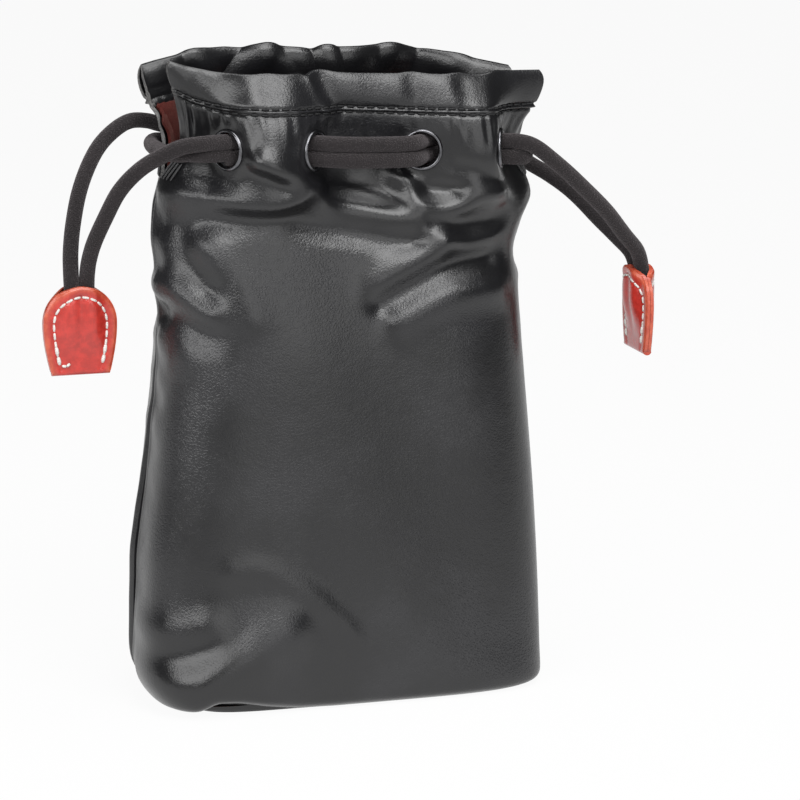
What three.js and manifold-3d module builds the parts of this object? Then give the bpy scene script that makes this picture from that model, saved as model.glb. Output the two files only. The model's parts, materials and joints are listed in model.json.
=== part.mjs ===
// A lens pouch: a drawstring bag of black leather with a suede lining. Two flaps at the mouth carry
// eight eyelets, two cords run round through them in opposite ways, and each cord ends in a red tab.
// Millimetres, +Z up, the front towards -Y. The origin is the middle of the base, on the ground.
import * as THREE from "three";
import { mergeVertices } from "three/addons/utils/BufferGeometryUtils.js";
import Module from "manifold-3d";

// Body: width and depth outside at four heights, and how square its plan is there (2 is an ellipse)
const BASE_WIDTH = 127;
const BASE_DEPTH = 68;
const BASE_SQUARENESS = 4.6;
const WAIST_HEIGHT = 118;
const WAIST_WIDTH = 117;
const WAIST_DEPTH = 60;
const WAIST_SQUARENESS = 3.2;
const ROOT_HEIGHT = 164;
const ROOT_WIDTH = 116;
const ROOT_DEPTH = 47;
const ROOT_SQUARENESS = 2.8;
const FLAP_HEIGHT = 39;
const RIM_WIDTH = 138;
const RIM_DEPTH = 41;
const RIM_SQUARENESS = 3;
const BASE_ROLL = 6;

// Materials and gaps
const LEATHER = 1.1;
const SUEDE = 0.9;
const GAP = 0.3;
const BASE_CLEARANCE = 0.6;

// Mouth: slits at both sides, a hem folded inwards to the stitch line, and the flaps' closing turn
const SLIT_WIDTH = 27;
const HEM_HEIGHT = 13;
const HEM_LOOP = 5.2;
const HINGE_DEPTH = 29;
const CLOSING_ANGLE = 18;
const RELIEF_ANGLE = 1.5;

// Cords and eyelets
const CORD_DIAMETER = 4.7;
const TWIST_SPREAD = 0.15;
const EYELET_RISE = 13;
const EYELET_WALL = 0.45;
const FLANGE_WIDTH = 1.75;
const FLANGE_HEIGHT = 0.95;
const CURL_WIDTH = 1.5;
const CURL_HEIGHT = 0.5;
const WASHER_THICKNESS = 0.7;
const FLAT_MARGIN = 2.2;
const FLAT_FADE = 3.4;

// Tabs: a strip folded at its straight bottom edge, with an arched top
const TAB_HEIGHT = 28.5;
const TAB_WIDTH = 23.5;
const TAB_FOLD_WIDTH = 18.5;
const TAB_ARCH_HEIGHT = 12;
const TAB_LEATHER = 1.35;
const TAB_POCKET = 12;
const TAB_CLOSED = 8;
const LEFT_TAB_FOOT = [-84.5, 0, 106];
const RIGHT_TAB_FOOT = [101.5, 0, 103];

// The front flap's gathers in plan at eyelet height, from the left seam to the right seam
const GATHERS = [
  [-58.5, 0],
  [-57.8, -5],
  [-54.5, -9.5],
  [-50, -11.5],
  [-45.5, -14],
  [-41.5, -20.5],
  [-37.8, -27],
  [-32, -30.8],
  [-25.5, -31],
  [-19.5, -27.6],
  [-14, -22.5],
  [-8.5, -17.6],
  [-1, -15.6],
  [7, -16.4],
  [14, -18.7],
  [21, -20.9],
  [28, -23],
  [35, -26],
  [40.5, -26.8],
  [44.7, -25.2],
  [47.5, -18.5],
  [50.3, -11.8],
  [54.5, -9],
  [57.8, -4.5],
  [58.5, 0],
];
const EYELET_POINTS = [5, 10, 15, 20];
const GATHER_DROP = 36;
const GATHER_AT_RIM = 0.22;

// The middle of the cord pair behind and in front of the front flap, and its twist in degrees
const PAIR_ROUTE = [
  [-46.4, -22.4, 0],
  [-41.5, -20.5, 0],
  [-36.5, -18.6, 0],
  [-30.5, -18, 0],
  [-24.5, -18.2, 0],
  [-19, -19.4, 0],
  [-14, -22.5, 0],
  [-9.6, -25.6, 0],
  [-4.5, -27, 0],
  [2, -27.2, 0],
  [8, -26.6, 0],
  [13, -25.6, 0],
  [17.2, -24.2, 0],
  [20.2, -21.2, 0],
  [22.4, -17.4, 0],
  [26, -14.4, 15],
  [31.5, -13.8, 75],
  [37, -15, 150],
  [42, -16.7, 180],
  [47.5, -18.5, 180],
  [52.3, -20.1, 180],
];

// Free stretches of cord: round the right side, and the four tails down into the tabs
const RIGHT_WRAP = [
  [52.8, -20.3],
  [55.2, -20.6],
  [57.9, -18.4],
  [59.9, -13],
  [61, -5.5],
  [61.1, 2],
  [60.3, 9.5],
  [58.2, 15.8],
  [54.6, 20.6],
  [50.3, 22.9],
  [47.1, 22.65],
];
const LEFT_FRONT_TAIL = [
  [-46.75, -22.53, 179.5],
  [-50.5, -23.6, 179.3],
  [-56.9, -24, 178.4],
  [-63, -22.6, 175.4],
  [-69.1, -19.6, 171],
  [-74.7, -16, 164.6],
  [-78.3, -12, 157],
  [-81, -8, 149.6],
  [-82, -4.2, 143.4],
  [-82.1, -1.2, 138.4],
  [-82.1, -0.1, 134],
  [-82.1, 0, 129],
  [-82.1, 0, 123.5],
];
const LEFT_BACK_TAIL = [
  [-53.3, 20.4, 179.5],
  [-57, 21, 180.6],
  [-62.6, 19.6, 180.8],
  [-67.8, 17.4, 178.7],
  [-73.6, 14.5, 174.2],
  [-78.3, 11.5, 168.2],
  [-82.4, 8, 160.7],
  [-85.1, 5, 152.1],
  [-86.5, 2.4, 144.6],
  [-86.9, 0.7, 138.6],
  [-86.9, 0, 134],
  [-86.9, 0, 129],
  [-86.9, 0, 123.5],
];
const RIGHT_FRONT_TAIL = [
  [52.95, -20.4, 179.5],
  [57, -22.4, 178.6],
  [61.8, -23.2, 175.4],
  [70.6, -20.5, 168],
  [82.7, -14.5, 155.2],
  [93.2, -7.9, 143.5],
  [99.2, -4.5, 137],
  [101.4, -2.8, 131.4],
  [101.5, -2.6, 126],
  [101.5, -2.6, 120.5],
];
const RIGHT_BACK_TAIL = [
  [46.75, 22.53, 179.5],
  [52, 24, 179.4],
  [59, 25.6, 175.8],
  [65.8, 25.4, 170.2],
  [72.1, 24, 165],
  [77.4, 21.6, 161],
  [83.6, 18, 155.1],
  [90.9, 12, 146.1],
  [96.6, 7.4, 139.6],
  [100.2, 4.4, 135.2],
  [101.4, 2.8, 131],
  [101.5, 2.6, 126],
  [101.5, 2.6, 120.5],
];

// Facets
const PANEL_COLUMNS = 22;
const ROUND_SIDES = 12;
const CORD_SIDES = 8;
const RUN_STEPS = 24;
const WRAP_STEPS = 12;
const TAIL_STEPS = 14;

// Sizes that follow from those above
const RIM_HEIGHT = ROOT_HEIGHT + FLAP_HEIGHT;
const EYELET_HEIGHT = ROOT_HEIGHT + EYELET_RISE;
const CORD_RADIUS = CORD_DIAMETER / 2;
const STRAND_OFFSET = (CORD_DIAMETER + GAP) / 2;
const BORE_RADIUS = STRAND_OFFSET + CORD_RADIUS + GAP;
const BARREL_RADIUS = BORE_RADIUS + EYELET_WALL;
const HOLE_RADIUS = BARREL_RADIUS + GAP;
const FLANGE_RADIUS = BORE_RADIUS + FLANGE_WIDTH;
const FLAT_RADIUS = FLANGE_RADIUS + FLAT_MARGIN;
const CURL_RADIUS = BORE_RADIUS + CURL_WIDTH;
const LINING_DEPTH = LEATHER + GAP;
const WALL = LINING_DEPTH + SUEDE;
const HEM_STITCH = RIM_HEIGHT - HEM_HEIGHT;
const SEAM_SHARE = 0.001;
const FAR = 400;

const MATERIALS = {
  leather: new THREE.MeshStandardMaterial({ color: 0x1c1c1e, roughness: 0.4 }),
  suede: new THREE.MeshStandardMaterial({ color: 0x6b2a22, roughness: 0.95 }),
  gunmetal: new THREE.MeshStandardMaterial({ color: 0x2b2b2e, roughness: 0.3, metalness: 1 }),
  cord: new THREE.MeshStandardMaterial({ color: 0x3d3638, roughness: 0.9 }),
  red: new THREE.MeshStandardMaterial({ color: 0xc23a30, roughness: 0.35 }),
};

const wasm = await Module();
wasm.setup();

// Solids in and out of the boolean library
function solidOf(geometry) {
  const bare = geometry.clone();
  bare.deleteAttribute("normal");
  bare.deleteAttribute("uv");
  const merged = mergeVertices(bare, 1e-3);
  const vertProperties = merged.attributes.position.array;
  const triVerts = new Uint32Array(merged.index.array);
  return new wasm.Manifold(new wasm.Mesh({ numProp: 3, vertProperties, triVerts }));
}

function geometryOf(solid) {
  const mesh = solid.getMesh();
  const geometry = new THREE.BufferGeometry();
  geometry.setAttribute("position", new THREE.BufferAttribute(mesh.vertProperties, 3));
  geometry.setIndex(new THREE.BufferAttribute(mesh.triVerts, 1));
  geometry.computeVertexNormals();
  return geometry;
}

// The pouch's outer surface
const smooth = (value, low, high) => THREE.MathUtils.smoothstep(value, low, high);

const STATIONS = [
  { z: 0, width: BASE_WIDTH, depth: BASE_DEPTH, square: BASE_SQUARENESS },
  { z: WAIST_HEIGHT, width: WAIST_WIDTH, depth: WAIST_DEPTH, square: WAIST_SQUARENESS },
  { z: ROOT_HEIGHT, width: ROOT_WIDTH, depth: ROOT_DEPTH, square: ROOT_SQUARENESS },
  { z: RIM_HEIGHT, width: RIM_WIDTH, depth: RIM_DEPTH, square: RIM_SQUARENESS },
];

function sectionAt(z) {
  const above = STATIONS.findIndex((station) => station.z > z);
  const high = STATIONS[above < 0 ? STATIONS.length - 1 : Math.max(above, 1)];
  const low = STATIONS[STATIONS.indexOf(high) - 1];
  const share = smooth(z, low.z, high.z);
  const between = (key) => THREE.MathUtils.lerp(low[key], high[key], share);
  const drop = Math.max(BASE_ROLL - Math.max(z, 0), 0);
  const inset = BASE_ROLL - Math.sqrt(BASE_ROLL ** 2 - drop ** 2);
  return {
    halfWidth: between("width") / 2 - inset,
    halfDepth: between("depth") / 2 - inset,
    power: 2 / between("square"),
  };
}

// Half of a section's outline, from the left seam round the front to the right seam
function frontOutline({ halfWidth, halfDepth, power }, steps) {
  const points = [];
  for (let i = 0; i <= steps; i += 1) {
    const angle = (Math.PI * i) / steps;
    const x = -Math.sign(Math.cos(angle)) * Math.abs(Math.cos(angle)) ** power;
    const y = -(Math.abs(Math.sin(angle)) ** power);
    points.push(new THREE.Vector2(halfWidth * x, halfDepth * y));
  }
  return points;
}

const OUTLINE_STEPS = 72;
const gathers = new THREE.SplineCurve(GATHERS.map(([x, y]) => new THREE.Vector2(x, y)));
const eyelets = EYELET_POINTS.map((index) => {
  const along = index / (GATHERS.length - 1);
  const place = gathers.getPoint(along);
  const run = gathers.getTangent(along);
  return {
    centre: new THREE.Vector3(place.x, place.y, EYELET_HEIGHT),
    normal: new THREE.Vector3(run.y, -run.x, 0),
  };
});

function plainPoint(share, z) {
  const outline = frontOutline(sectionAt(z), OUTLINE_STEPS);
  const lengths = [0];
  for (let i = 1; i < outline.length; i += 1) {
    lengths.push(lengths[i - 1] + outline[i].distanceTo(outline[i - 1]));
  }
  const wanted = share * lengths[OUTLINE_STEPS];
  const next = Math.max(1, lengths.findIndex((length) => length >= wanted));
  const part = (wanted - lengths[next - 1]) / (lengths[next] - lengths[next - 1]);
  return outline[next - 1].clone().lerp(outline[next], part);
}

// The gathers are deepest at the cords, and fade into the body below and the hem above
function gatherShare(z) {
  const fromBody = smooth(z, ROOT_HEIGHT - GATHER_DROP, EYELET_HEIGHT);
  const toRim = smooth(z, EYELET_HEIGHT, RIM_HEIGHT);
  return fromBody * THREE.MathUtils.lerp(1, GATHER_AT_RIM, toRim);
}

// Past a seam the surface goes on as its own mirror image
function surfacePoint(share, z) {
  const along = THREE.MathUtils.pingpong(share, 1);
  const past = share < 0 || share > 1;
  const flat = plainPoint(along, z).lerp(gathers.getPoint(along), gatherShare(z));
  const point = new THREE.Vector3(flat.x, flat.y, z);
  for (const { centre, normal } of eyelets) {
    const offset = point.clone().sub(centre);
    const away = Math.max(Math.hypot(offset.x, offset.y), Math.abs(offset.z));
    const hold = 1 - smooth(away, FLAT_RADIUS, FLAT_RADIUS + FLAT_FADE);
    point.addScaledVector(normal, -hold * offset.dot(normal));
  }
  return past ? point.setY(-point.y) : point;
}

const HEIGHT_STEP = 0.1;

// A point at a depth below the outer surface, square to the facets that meet there and level above the waist
function wallPoint([before, share, after], z, depth) {
  const across = surfacePoint(after, z).sub(surfacePoint(before, z));
  const upper = surfacePoint(share, z + HEIGHT_STEP);
  const lower = surfacePoint(share, Math.max(z - HEIGHT_STEP, 0));
  const normal = across.cross(upper.sub(lower));
  if (z > WAIST_HEIGHT) normal.setZ(0);
  normal.normalize();
  return surfacePoint(share, z).addScaledVector(normal, -depth);
}

// Columns of a wall, as shares of the way from seam to seam
const fromSeams = (share) => THREE.MathUtils.lerp(SEAM_SHARE, 1 - SEAM_SHARE, share);
const PANEL_SHARES = Array.from({ length: PANEL_COLUMNS + 1 }, (item, i) => fromSeams(i / PANEL_COLUMNS));

// A flap's columns are its gather points, with one more between two that no eyelet flattens
function flapShares() {
  const last = GATHERS.length - 1;
  const shares = [];
  for (let i = 0; i < last; i += 1) {
    shares.push(fromSeams(i / last));
    const flattened = EYELET_POINTS.includes(i) || EYELET_POINTS.includes(i + 1);
    if (!flattened) shares.push(fromSeams((i + 0.5) / last));
  }
  return [...shares, fromSeams(1)];
}

const FLAP_SHARES = flapShares();

// A closed profile of [depth, height] pairs, up the outside and down the inside, swept from seam to seam
function sweptWall(profile, shares) {
  const count = profile.length;
  const columns = shares.length - 1;
  const positions = [];
  shares.forEach((share, column) => {
    const before = shares[column - 1] ?? 2 * share - shares[column + 1];
    const after = shares[column + 1] ?? 2 * share - shares[column - 1];
    for (const [depth, z] of profile) {
      positions.push(...wallPoint([before, share, after], z, depth).toArray());
    }
  });
  const index = [];
  for (let column = 0; column < columns; column += 1) {
    for (let row = 0; row < count; row += 1) {
      const next = (row + 1) % count;
      const a = column * count + row;
      const b = a + count;
      const c = (column + 1) * count + next;
      const d = column * count + next;
      const rising = profile[next][1] >= profile[row][1];
      index.push(...(rising ? [a, b, c, a, c, d] : [a, b, d, b, c, d]));
    }
  }
  for (const first of [0, columns * count]) {
    const end = profile.map((pair, row) => new THREE.Vector3().fromArray(positions, 3 * (first + row)));
    const contour = end.map(({ x, z }) => new THREE.Vector2(x, z));
    for (const [i, j, k] of THREE.ShapeUtils.triangulateShape(contour, [])) {
      const outward = THREE.ShapeUtils.area([contour[i], contour[j], contour[k]]) < 0;
      const [p, q] = outward ? [j, k] : [k, j];
      index.push(first + i, first + p, first + q);
    }
  }
  const geometry = new THREE.BufferGeometry();
  geometry.setAttribute("position", new THREE.Float32BufferAttribute(positions, 3));
  geometry.setIndex(index);
  return solidOf(geometry);
}

// Rows of a sheet between two depths
function sheetProfile(rows, outer, inner) {
  const up = rows.map((z) => [outer, z]);
  const down = rows.map((z) => [inner, z]).reverse();
  return [...up, ...down];
}

// A prism along X over an outline of [y, z] pairs
function prism(outline, start, end) {
  const shape = new THREE.Shape(outline.map(([y, z]) => new THREE.Vector2(y, z)));
  const geometry = new THREE.ExtrudeGeometry(shape, { depth: end - start, bevelEnabled: false });
  const axes = new THREE.Matrix4().makeBasis(
    new THREE.Vector3(0, 1, 0),
    new THREE.Vector3(0, 0, 1),
    new THREE.Vector3(1, 0, 0),
  );
  return solidOf(geometry.applyMatrix4(axes).translate(start, 0, 0));
}

// Panels
const PANEL_TOP = ROOT_HEIGHT - GAP / 2;
const PANEL_ROWS = [
  0,
  BASE_ROLL * 0.25,
  BASE_ROLL,
  WAIST_HEIGHT * 0.5,
  WAIST_HEIGHT,
  THREE.MathUtils.lerp(WAIST_HEIGHT, PANEL_TOP, 0.5),
  THREE.MathUtils.lerp(WAIST_HEIGHT, PANEL_TOP, 0.8),
  PANEL_TOP,
];

function panel() {
  return sweptWall(sheetProfile(PANEL_ROWS, 0, LEATHER), PANEL_SHARES);
}

function panelLining() {
  return sweptWall(sheetProfile(PANEL_ROWS, LINING_DEPTH, WALL), PANEL_SHARES);
}

// Base: a flat piece inside the panels' rolled edge, with the same corners
function basePlate(bottom, thickness) {
  const { halfWidth, halfDepth } = sectionAt(0);
  const narrowed = new THREE.Vector2(1 - BASE_CLEARANCE / halfWidth, 1 - BASE_CLEARANCE / halfDepth);
  const front = PANEL_SHARES.map((share) => plainPoint(share, 0).multiply(narrowed));
  const back = front.map((point) => point.clone().negate());
  const shape = new THREE.Shape([...front, ...back]);
  const geometry = new THREE.ExtrudeGeometry(shape, { depth: thickness, bevelEnabled: false });
  return geometry.translate(0, 0, bottom);
}

// Flaps
const FLAP_BOTTOM = ROOT_HEIGHT + GAP / 2;
const HEM_LOW = HEM_STITCH - LEATHER;
const FLAP_ROWS = [0, 0.15, 0.89, 1].map((share) => THREE.MathUtils.lerp(FLAP_BOTTOM, HEM_LOW, share));

function flapProfile() {
  const up = FLAP_ROWS.map((z) => [0, z]);
  const down = FLAP_ROWS.map((z) => [LEATHER, z]).reverse();
  const loop = [
    [-0.03 * HEM_LOOP, HEM_STITCH + 0.55 * HEM_HEIGHT],
    [0.15 * HEM_LOOP, RIM_HEIGHT - 0.1 * HEM_HEIGHT],
    [0.5 * HEM_LOOP, RIM_HEIGHT],
    [0.85 * HEM_LOOP, RIM_HEIGHT - 0.1 * HEM_HEIGHT],
    [HEM_LOOP, HEM_STITCH + 0.55 * HEM_HEIGHT],
    [2 * LEATHER, HEM_STITCH + 0.08 * HEM_HEIGHT],
    [2 * LEATHER, HEM_LOW],
  ];
  return [...up, ...loop, ...down];
}

// The hollow inside the folded hem, open at both slits
function hemTunnelProfile() {
  const inner = HEM_LOOP - LEATHER;
  return [
    [LEATHER, HEM_STITCH + 0.15 * HEM_HEIGHT],
    [LEATHER, HEM_STITCH + 0.55 * HEM_HEIGHT],
    [LEATHER + 0.3 * (inner - LEATHER), RIM_HEIGHT - LEATHER - 0.05 * HEM_HEIGHT],
    [LEATHER + 0.7 * (inner - LEATHER), RIM_HEIGHT - LEATHER - 0.05 * HEM_HEIGHT],
    [inner, HEM_STITCH + 0.55 * HEM_HEIGHT],
  ];
}

function slitCutters() {
  const rise = RIM_HEIGHT - ROOT_HEIGHT;
  const top = RIM_HEIGHT + rise;
  const outline = [
    [0, ROOT_HEIGHT],
    [SLIT_WIDTH, top],
    [-SLIT_WIDTH, top],
  ];
  const inner = RIM_WIDTH / 4;
  return [prism(outline, -FAR, -inner), prism(outline, inner, FAR)];
}

// Room under the flap's ends, so that they clear the panel when the flap turns inwards
function rootRelief() {
  const hinge = -HINGE_DEPTH / 2;
  const slope = Math.tan(THREE.MathUtils.degToRad(CLOSING_ANGLE + RELIEF_ANGLE));
  const outline = [
    [hinge, ROOT_HEIGHT],
    [hinge, -FAR],
    [FAR, -FAR],
    [FAR, ROOT_HEIGHT + (FAR - hinge) * slope],
  ];
  return prism(outline, -FAR, FAR);
}

function eyeletHoles() {
  return eyelets.map(({ centre, normal }) => {
    const drill = new THREE.CylinderGeometry(HOLE_RADIUS, HOLE_RADIUS, 6 * WALL, ROUND_SIDES);
    const turn = new THREE.Quaternion().setFromUnitVectors(new THREE.Vector3(0, 1, 0), normal);
    drill.applyQuaternion(turn);
    return solidOf(drill.translate(...centre.toArray()));
  });
}

function mouthCuts(wall) {
  const cutters = [...slitCutters(), rootRelief(), ...eyeletHoles()];
  return cutters.reduce((left, cutter) => left.subtract(cutter), wall);
}

function flap() {
  const folded = sweptWall(flapProfile(), FLAP_SHARES);
  return mouthCuts(folded.subtract(sweptWall(hemTunnelProfile(), FLAP_SHARES)));
}

// The lining stops at the flats' top edge, just below the hem's facing
function flapLining() {
  const rows = FLAP_ROWS.slice(0, -1);
  return mouthCuts(sweptWall(sheetProfile(rows, LINING_DEPTH, WALL), FLAP_SHARES));
}

// Eyelets: a flanged barrel that is curled over a washer on the lining's side
function ring(profile) {
  const points = [...profile, profile[0]].map(([radius, height]) => new THREE.Vector2(radius, height));
  return new THREE.LatheGeometry(points, ROUND_SIDES);
}

const WASHER_TOP = -WALL - GAP;
const WASHER_BOTTOM = WASHER_TOP - WASHER_THICKNESS;
const CURL_TOP = WASHER_BOTTOM - GAP;
const CURL_BOTTOM = CURL_TOP - CURL_HEIGHT;

function eyelet() {
  return ring([
    [BORE_RADIUS, CURL_BOTTOM],
    [CURL_RADIUS, CURL_BOTTOM],
    [CURL_RADIUS, CURL_TOP],
    [BARREL_RADIUS, CURL_TOP],
    [BARREL_RADIUS, GAP],
    [FLANGE_RADIUS, GAP],
    [FLANGE_RADIUS - 0.4 * FLANGE_WIDTH, GAP + FLANGE_HEIGHT],
    [BORE_RADIUS, GAP + 0.5 * FLANGE_HEIGHT],
  ]);
}

function washer() {
  return ring([
    [HOLE_RADIUS, WASHER_BOTTOM],
    [FLANGE_RADIUS, WASHER_BOTTOM],
    [FLANGE_RADIUS, WASHER_TOP],
    [HOLE_RADIUS, WASHER_TOP],
  ]);
}

// Cords
function cord(points, steps) {
  const section = new THREE.Shape();
  for (let side = 0; side < CORD_SIDES; side += 1) {
    const angle = (2 * Math.PI * side) / CORD_SIDES;
    const corner = [CORD_RADIUS * Math.cos(angle), CORD_RADIUS * Math.sin(angle)];
    if (side === 0) section.moveTo(...corner);
    else section.lineTo(...corner);
  }
  const extrudePath = new THREE.CatmullRomCurve3(points);
  return new THREE.ExtrudeGeometry(section, { steps, extrudePath, bevelEnabled: false });
}

const routePoints = (route) => route.map((point) => new THREE.Vector3(...point));

// One strand of the pair: the two lie one over the other, and turn about each other where they twist
function strandPoints(side) {
  const middle = PAIR_ROUTE.map(([x, y]) => new THREE.Vector3(x, y, EYELET_HEIGHT));
  return middle.map((point, i) => {
    const before = middle[Math.max(i - 1, 0)];
    const after = middle[Math.min(i + 1, middle.length - 1)];
    const run = after.clone().sub(before).normalize();
    const twist = THREE.MathUtils.degToRad(PAIR_ROUTE[i][2]);
    const across = new THREE.Vector3(-run.y, run.x, 0).multiplyScalar(Math.sin(twist));
    const spread = STRAND_OFFSET * (1 + TWIST_SPREAD * Math.sin(twist) ** 2);
    const offset = across.setZ(Math.cos(twist)).multiplyScalar(side * spread);
    return point.clone().add(offset);
  });
}

function wrapPoints() {
  return RIGHT_WRAP.map(([x, y]) => new THREE.Vector3(x, y, EYELET_HEIGHT - STRAND_OFFSET));
}

// Tab: two leaves joined along the fold, parted at the top by the two cord ends between them
function tab() {
  const closed = TAB_LEATHER + GAP / 2;
  const pocket = CORD_RADIUS + GAP;
  const open = pocket + TAB_LEATHER;
  const flare = TAB_HEIGHT - TAB_POCKET;
  const section = [
    [-0.6 * closed, 0],
    [0.6 * closed, 0],
    [closed, 0.6 * closed],
    [closed, TAB_CLOSED],
    [open, flare],
    [open, TAB_HEIGHT],
    [pocket, TAB_HEIGHT],
    [pocket, flare],
    [GAP / 2, TAB_CLOSED],
    [-GAP / 2, TAB_CLOSED],
    [-pocket, flare],
    [-pocket, TAB_HEIGHT],
    [-open, TAB_HEIGHT],
    [-open, flare],
    [-closed, TAB_CLOSED],
    [-closed, 0.6 * closed],
  ];
  const leaves = prism(section, -TAB_WIDTH, TAB_WIDTH);
  const half = TAB_WIDTH / 2;
  const spring = TAB_HEIGHT - TAB_ARCH_HEIGHT;
  const outline = new THREE.Shape();
  outline.moveTo(-TAB_FOLD_WIDTH / 2, 0);
  outline.lineTo(TAB_FOLD_WIDTH / 2, 0);
  outline.quadraticCurveTo(half, 0.45 * spring, half, spring);
  outline.absellipse(0, spring, half, TAB_ARCH_HEIGHT, 0, Math.PI, false, 0);
  outline.quadraticCurveTo(-half, 0.45 * spring, -TAB_FOLD_WIDTH / 2, 0);
  const depth = 4 * open;
  const blank = new THREE.ExtrudeGeometry(outline, { depth, bevelEnabled: false, curveSegments: 8 });
  const upright = blank.translate(0, 0, -depth / 2).rotateX(Math.PI / 2);
  return geometryOf(leaves.intersect(solidOf(upright)));
}

// Assembly
const pouch = new THREE.Group();
pouch.name = "lens_pouch";

function piece(parent, name, geometry, material) {
  const mesh = new THREE.Mesh(geometry, MATERIALS[material]);
  mesh.name = name;
  parent.add(mesh);
  return mesh;
}

piece(pouch, "base_panel", basePlate(0, LEATHER), "leather");
piece(pouch, "base_lining", basePlate(LINING_DEPTH, SUEDE), "suede");

// The back half is the front half turned about Z, and the two cords trade places on it
const wallGeometry = {
  panel: geometryOf(panel()),
  lining: geometryOf(panelLining()),
  flap: geometryOf(flap()),
  flap_lining: geometryOf(flapLining()),
};
const upright = new THREE.Vector3(0, 1, 0);
for (const side of ["front", "back"]) {
  const isFront = side === "front";
  const half = new THREE.Group();
  half.rotation.z = isFront ? 0 : Math.PI;
  pouch.add(half);
  piece(half, `${side}_panel`, wallGeometry.panel, "leather");
  piece(half, `${side}_lining`, wallGeometry.lining, "suede");
  piece(half, `${side}_flap`, wallGeometry.flap, "leather");
  piece(half, `${side}_flap_lining`, wallGeometry.flap_lining, "suede");
  eyelets.forEach(({ centre, normal }, i) => {
    const number = isFront ? i + 1 : eyelets.length - i;
    for (const [kind, geometry] of [["eyelet", eyelet()], ["washer", washer()]]) {
      const metal = piece(half, `${side}_${kind}_${number}`, geometry, "gunmetal");
      metal.position.copy(centre);
      metal.quaternion.setFromUnitVectors(upright, normal);
    }
  });
  const [upper, lower] = isFront ? ["left", "right"] : ["right", "left"];
  piece(half, `${upper}_cord_${side}_run`, cord(strandPoints(1), RUN_STEPS), "cord");
  piece(half, `${lower}_cord_${side}_run`, cord(strandPoints(-1), RUN_STEPS), "cord");
  piece(half, `${upper}_cord_wrap`, cord(wrapPoints(), WRAP_STEPS), "cord");
}

const TAILS = {
  left_cord_front_tail: LEFT_FRONT_TAIL,
  left_cord_back_tail: LEFT_BACK_TAIL,
  right_cord_front_tail: RIGHT_FRONT_TAIL,
  right_cord_back_tail: RIGHT_BACK_TAIL,
};
for (const [name, route] of Object.entries(TAILS)) {
  piece(pouch, name, cord(routePoints(route), TAIL_STEPS), "cord");
}

piece(pouch, "left_tab", tab(), "red").position.set(...LEFT_TAB_FOOT);
const rightTab = piece(pouch, "right_tab", tab(), "red");
rightTab.position.set(...RIGHT_TAB_FOOT);
rightTab.rotation.z = Math.PI / 2;

export default pouch;
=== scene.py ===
"""Dresses the lens pouch: leather with its folds and seams, suede, cords, eyelets, tabs and stitching."""
import functools
import json
import math

import bpy
import numpy as np
from bpy.props import FloatProperty, FloatVectorProperty, IntProperty, PointerProperty
from mathutils import Matrix, Vector


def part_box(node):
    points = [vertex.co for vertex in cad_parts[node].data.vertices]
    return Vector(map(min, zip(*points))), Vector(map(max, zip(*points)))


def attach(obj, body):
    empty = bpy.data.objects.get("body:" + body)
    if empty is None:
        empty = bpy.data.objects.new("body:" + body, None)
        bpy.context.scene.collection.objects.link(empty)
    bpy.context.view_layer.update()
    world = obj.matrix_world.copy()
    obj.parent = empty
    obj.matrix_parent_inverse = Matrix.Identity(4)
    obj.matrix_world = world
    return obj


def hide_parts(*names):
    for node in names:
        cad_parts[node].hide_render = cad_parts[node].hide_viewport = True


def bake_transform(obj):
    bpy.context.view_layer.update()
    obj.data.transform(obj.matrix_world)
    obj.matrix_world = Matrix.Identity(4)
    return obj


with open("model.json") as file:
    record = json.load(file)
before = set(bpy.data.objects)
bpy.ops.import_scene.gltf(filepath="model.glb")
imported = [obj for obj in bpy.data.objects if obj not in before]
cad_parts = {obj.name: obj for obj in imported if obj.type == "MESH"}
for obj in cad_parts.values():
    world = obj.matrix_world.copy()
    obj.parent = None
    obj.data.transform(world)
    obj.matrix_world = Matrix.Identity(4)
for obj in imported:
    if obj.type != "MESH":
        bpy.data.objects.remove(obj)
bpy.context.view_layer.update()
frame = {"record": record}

bl_info = {
    "name": "Lens Pouch",
    "version": (1, 0, 0),
    "blender": (4, 5, 0),
    "location": "View3D > Sidebar > Lens Pouch",
    "description": "Dresses a drawstring lens pouch of black leather",
    "category": "Mesh",
}

JOINTS = {joint["name"]: joint for joint in frame["record"]["behaviour"]["joints"]}

# Outer shape of the pouch: height, width, depth and squareness of its plan, from the base to the rim
ROOT_HEIGHT = JOINTS["front_flap_close"]["pos_m"][2]
RIM_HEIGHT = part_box("front_flap")[1][2]
STATIONS = (
    (0.0, 0.127, 0.068, 4.6),
    (0.118, 0.117, 0.060, 3.2),
    (ROOT_HEIGHT, 0.116, 0.047, 2.8),
    (RIM_HEIGHT, 0.138, 0.041, 3.0),
)
BASE_ROLL = 0.0045
FOOT_HEIGHT = 0.012
SLIT_WIDTH = 0.027
HEM_HEIGHT = 0.013
HEM_STITCH = RIM_HEIGHT - HEM_HEIGHT
EYELET_HEIGHT = 0.177
GATHER_START = 0.146
GATHER_AT_RIM = 0.22

# Plan of the gathered front at eyelet height, from the left seam to the right seam
GATHERS = (
    (-0.0585, 0.0), (-0.0578, -0.005), (-0.0545, -0.0095), (-0.05, -0.0115), (-0.0455, -0.014),
    (-0.0415, -0.0205), (-0.0378, -0.027), (-0.032, -0.0308), (-0.0255, -0.031), (-0.0195, -0.0276),
    (-0.014, -0.0225), (-0.0085, -0.0176), (-0.001, -0.0156), (0.007, -0.0164), (0.014, -0.0187),
    (0.021, -0.0209), (0.028, -0.023), (0.035, -0.026), (0.0405, -0.0268), (0.0447, -0.0252),
    (0.0475, -0.0185), (0.0503, -0.0118), (0.0545, -0.009), (0.0578, -0.0045), (0.0585, 0.0),
)
EYELET_POINTS = (5, 10, 15, 20)

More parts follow.
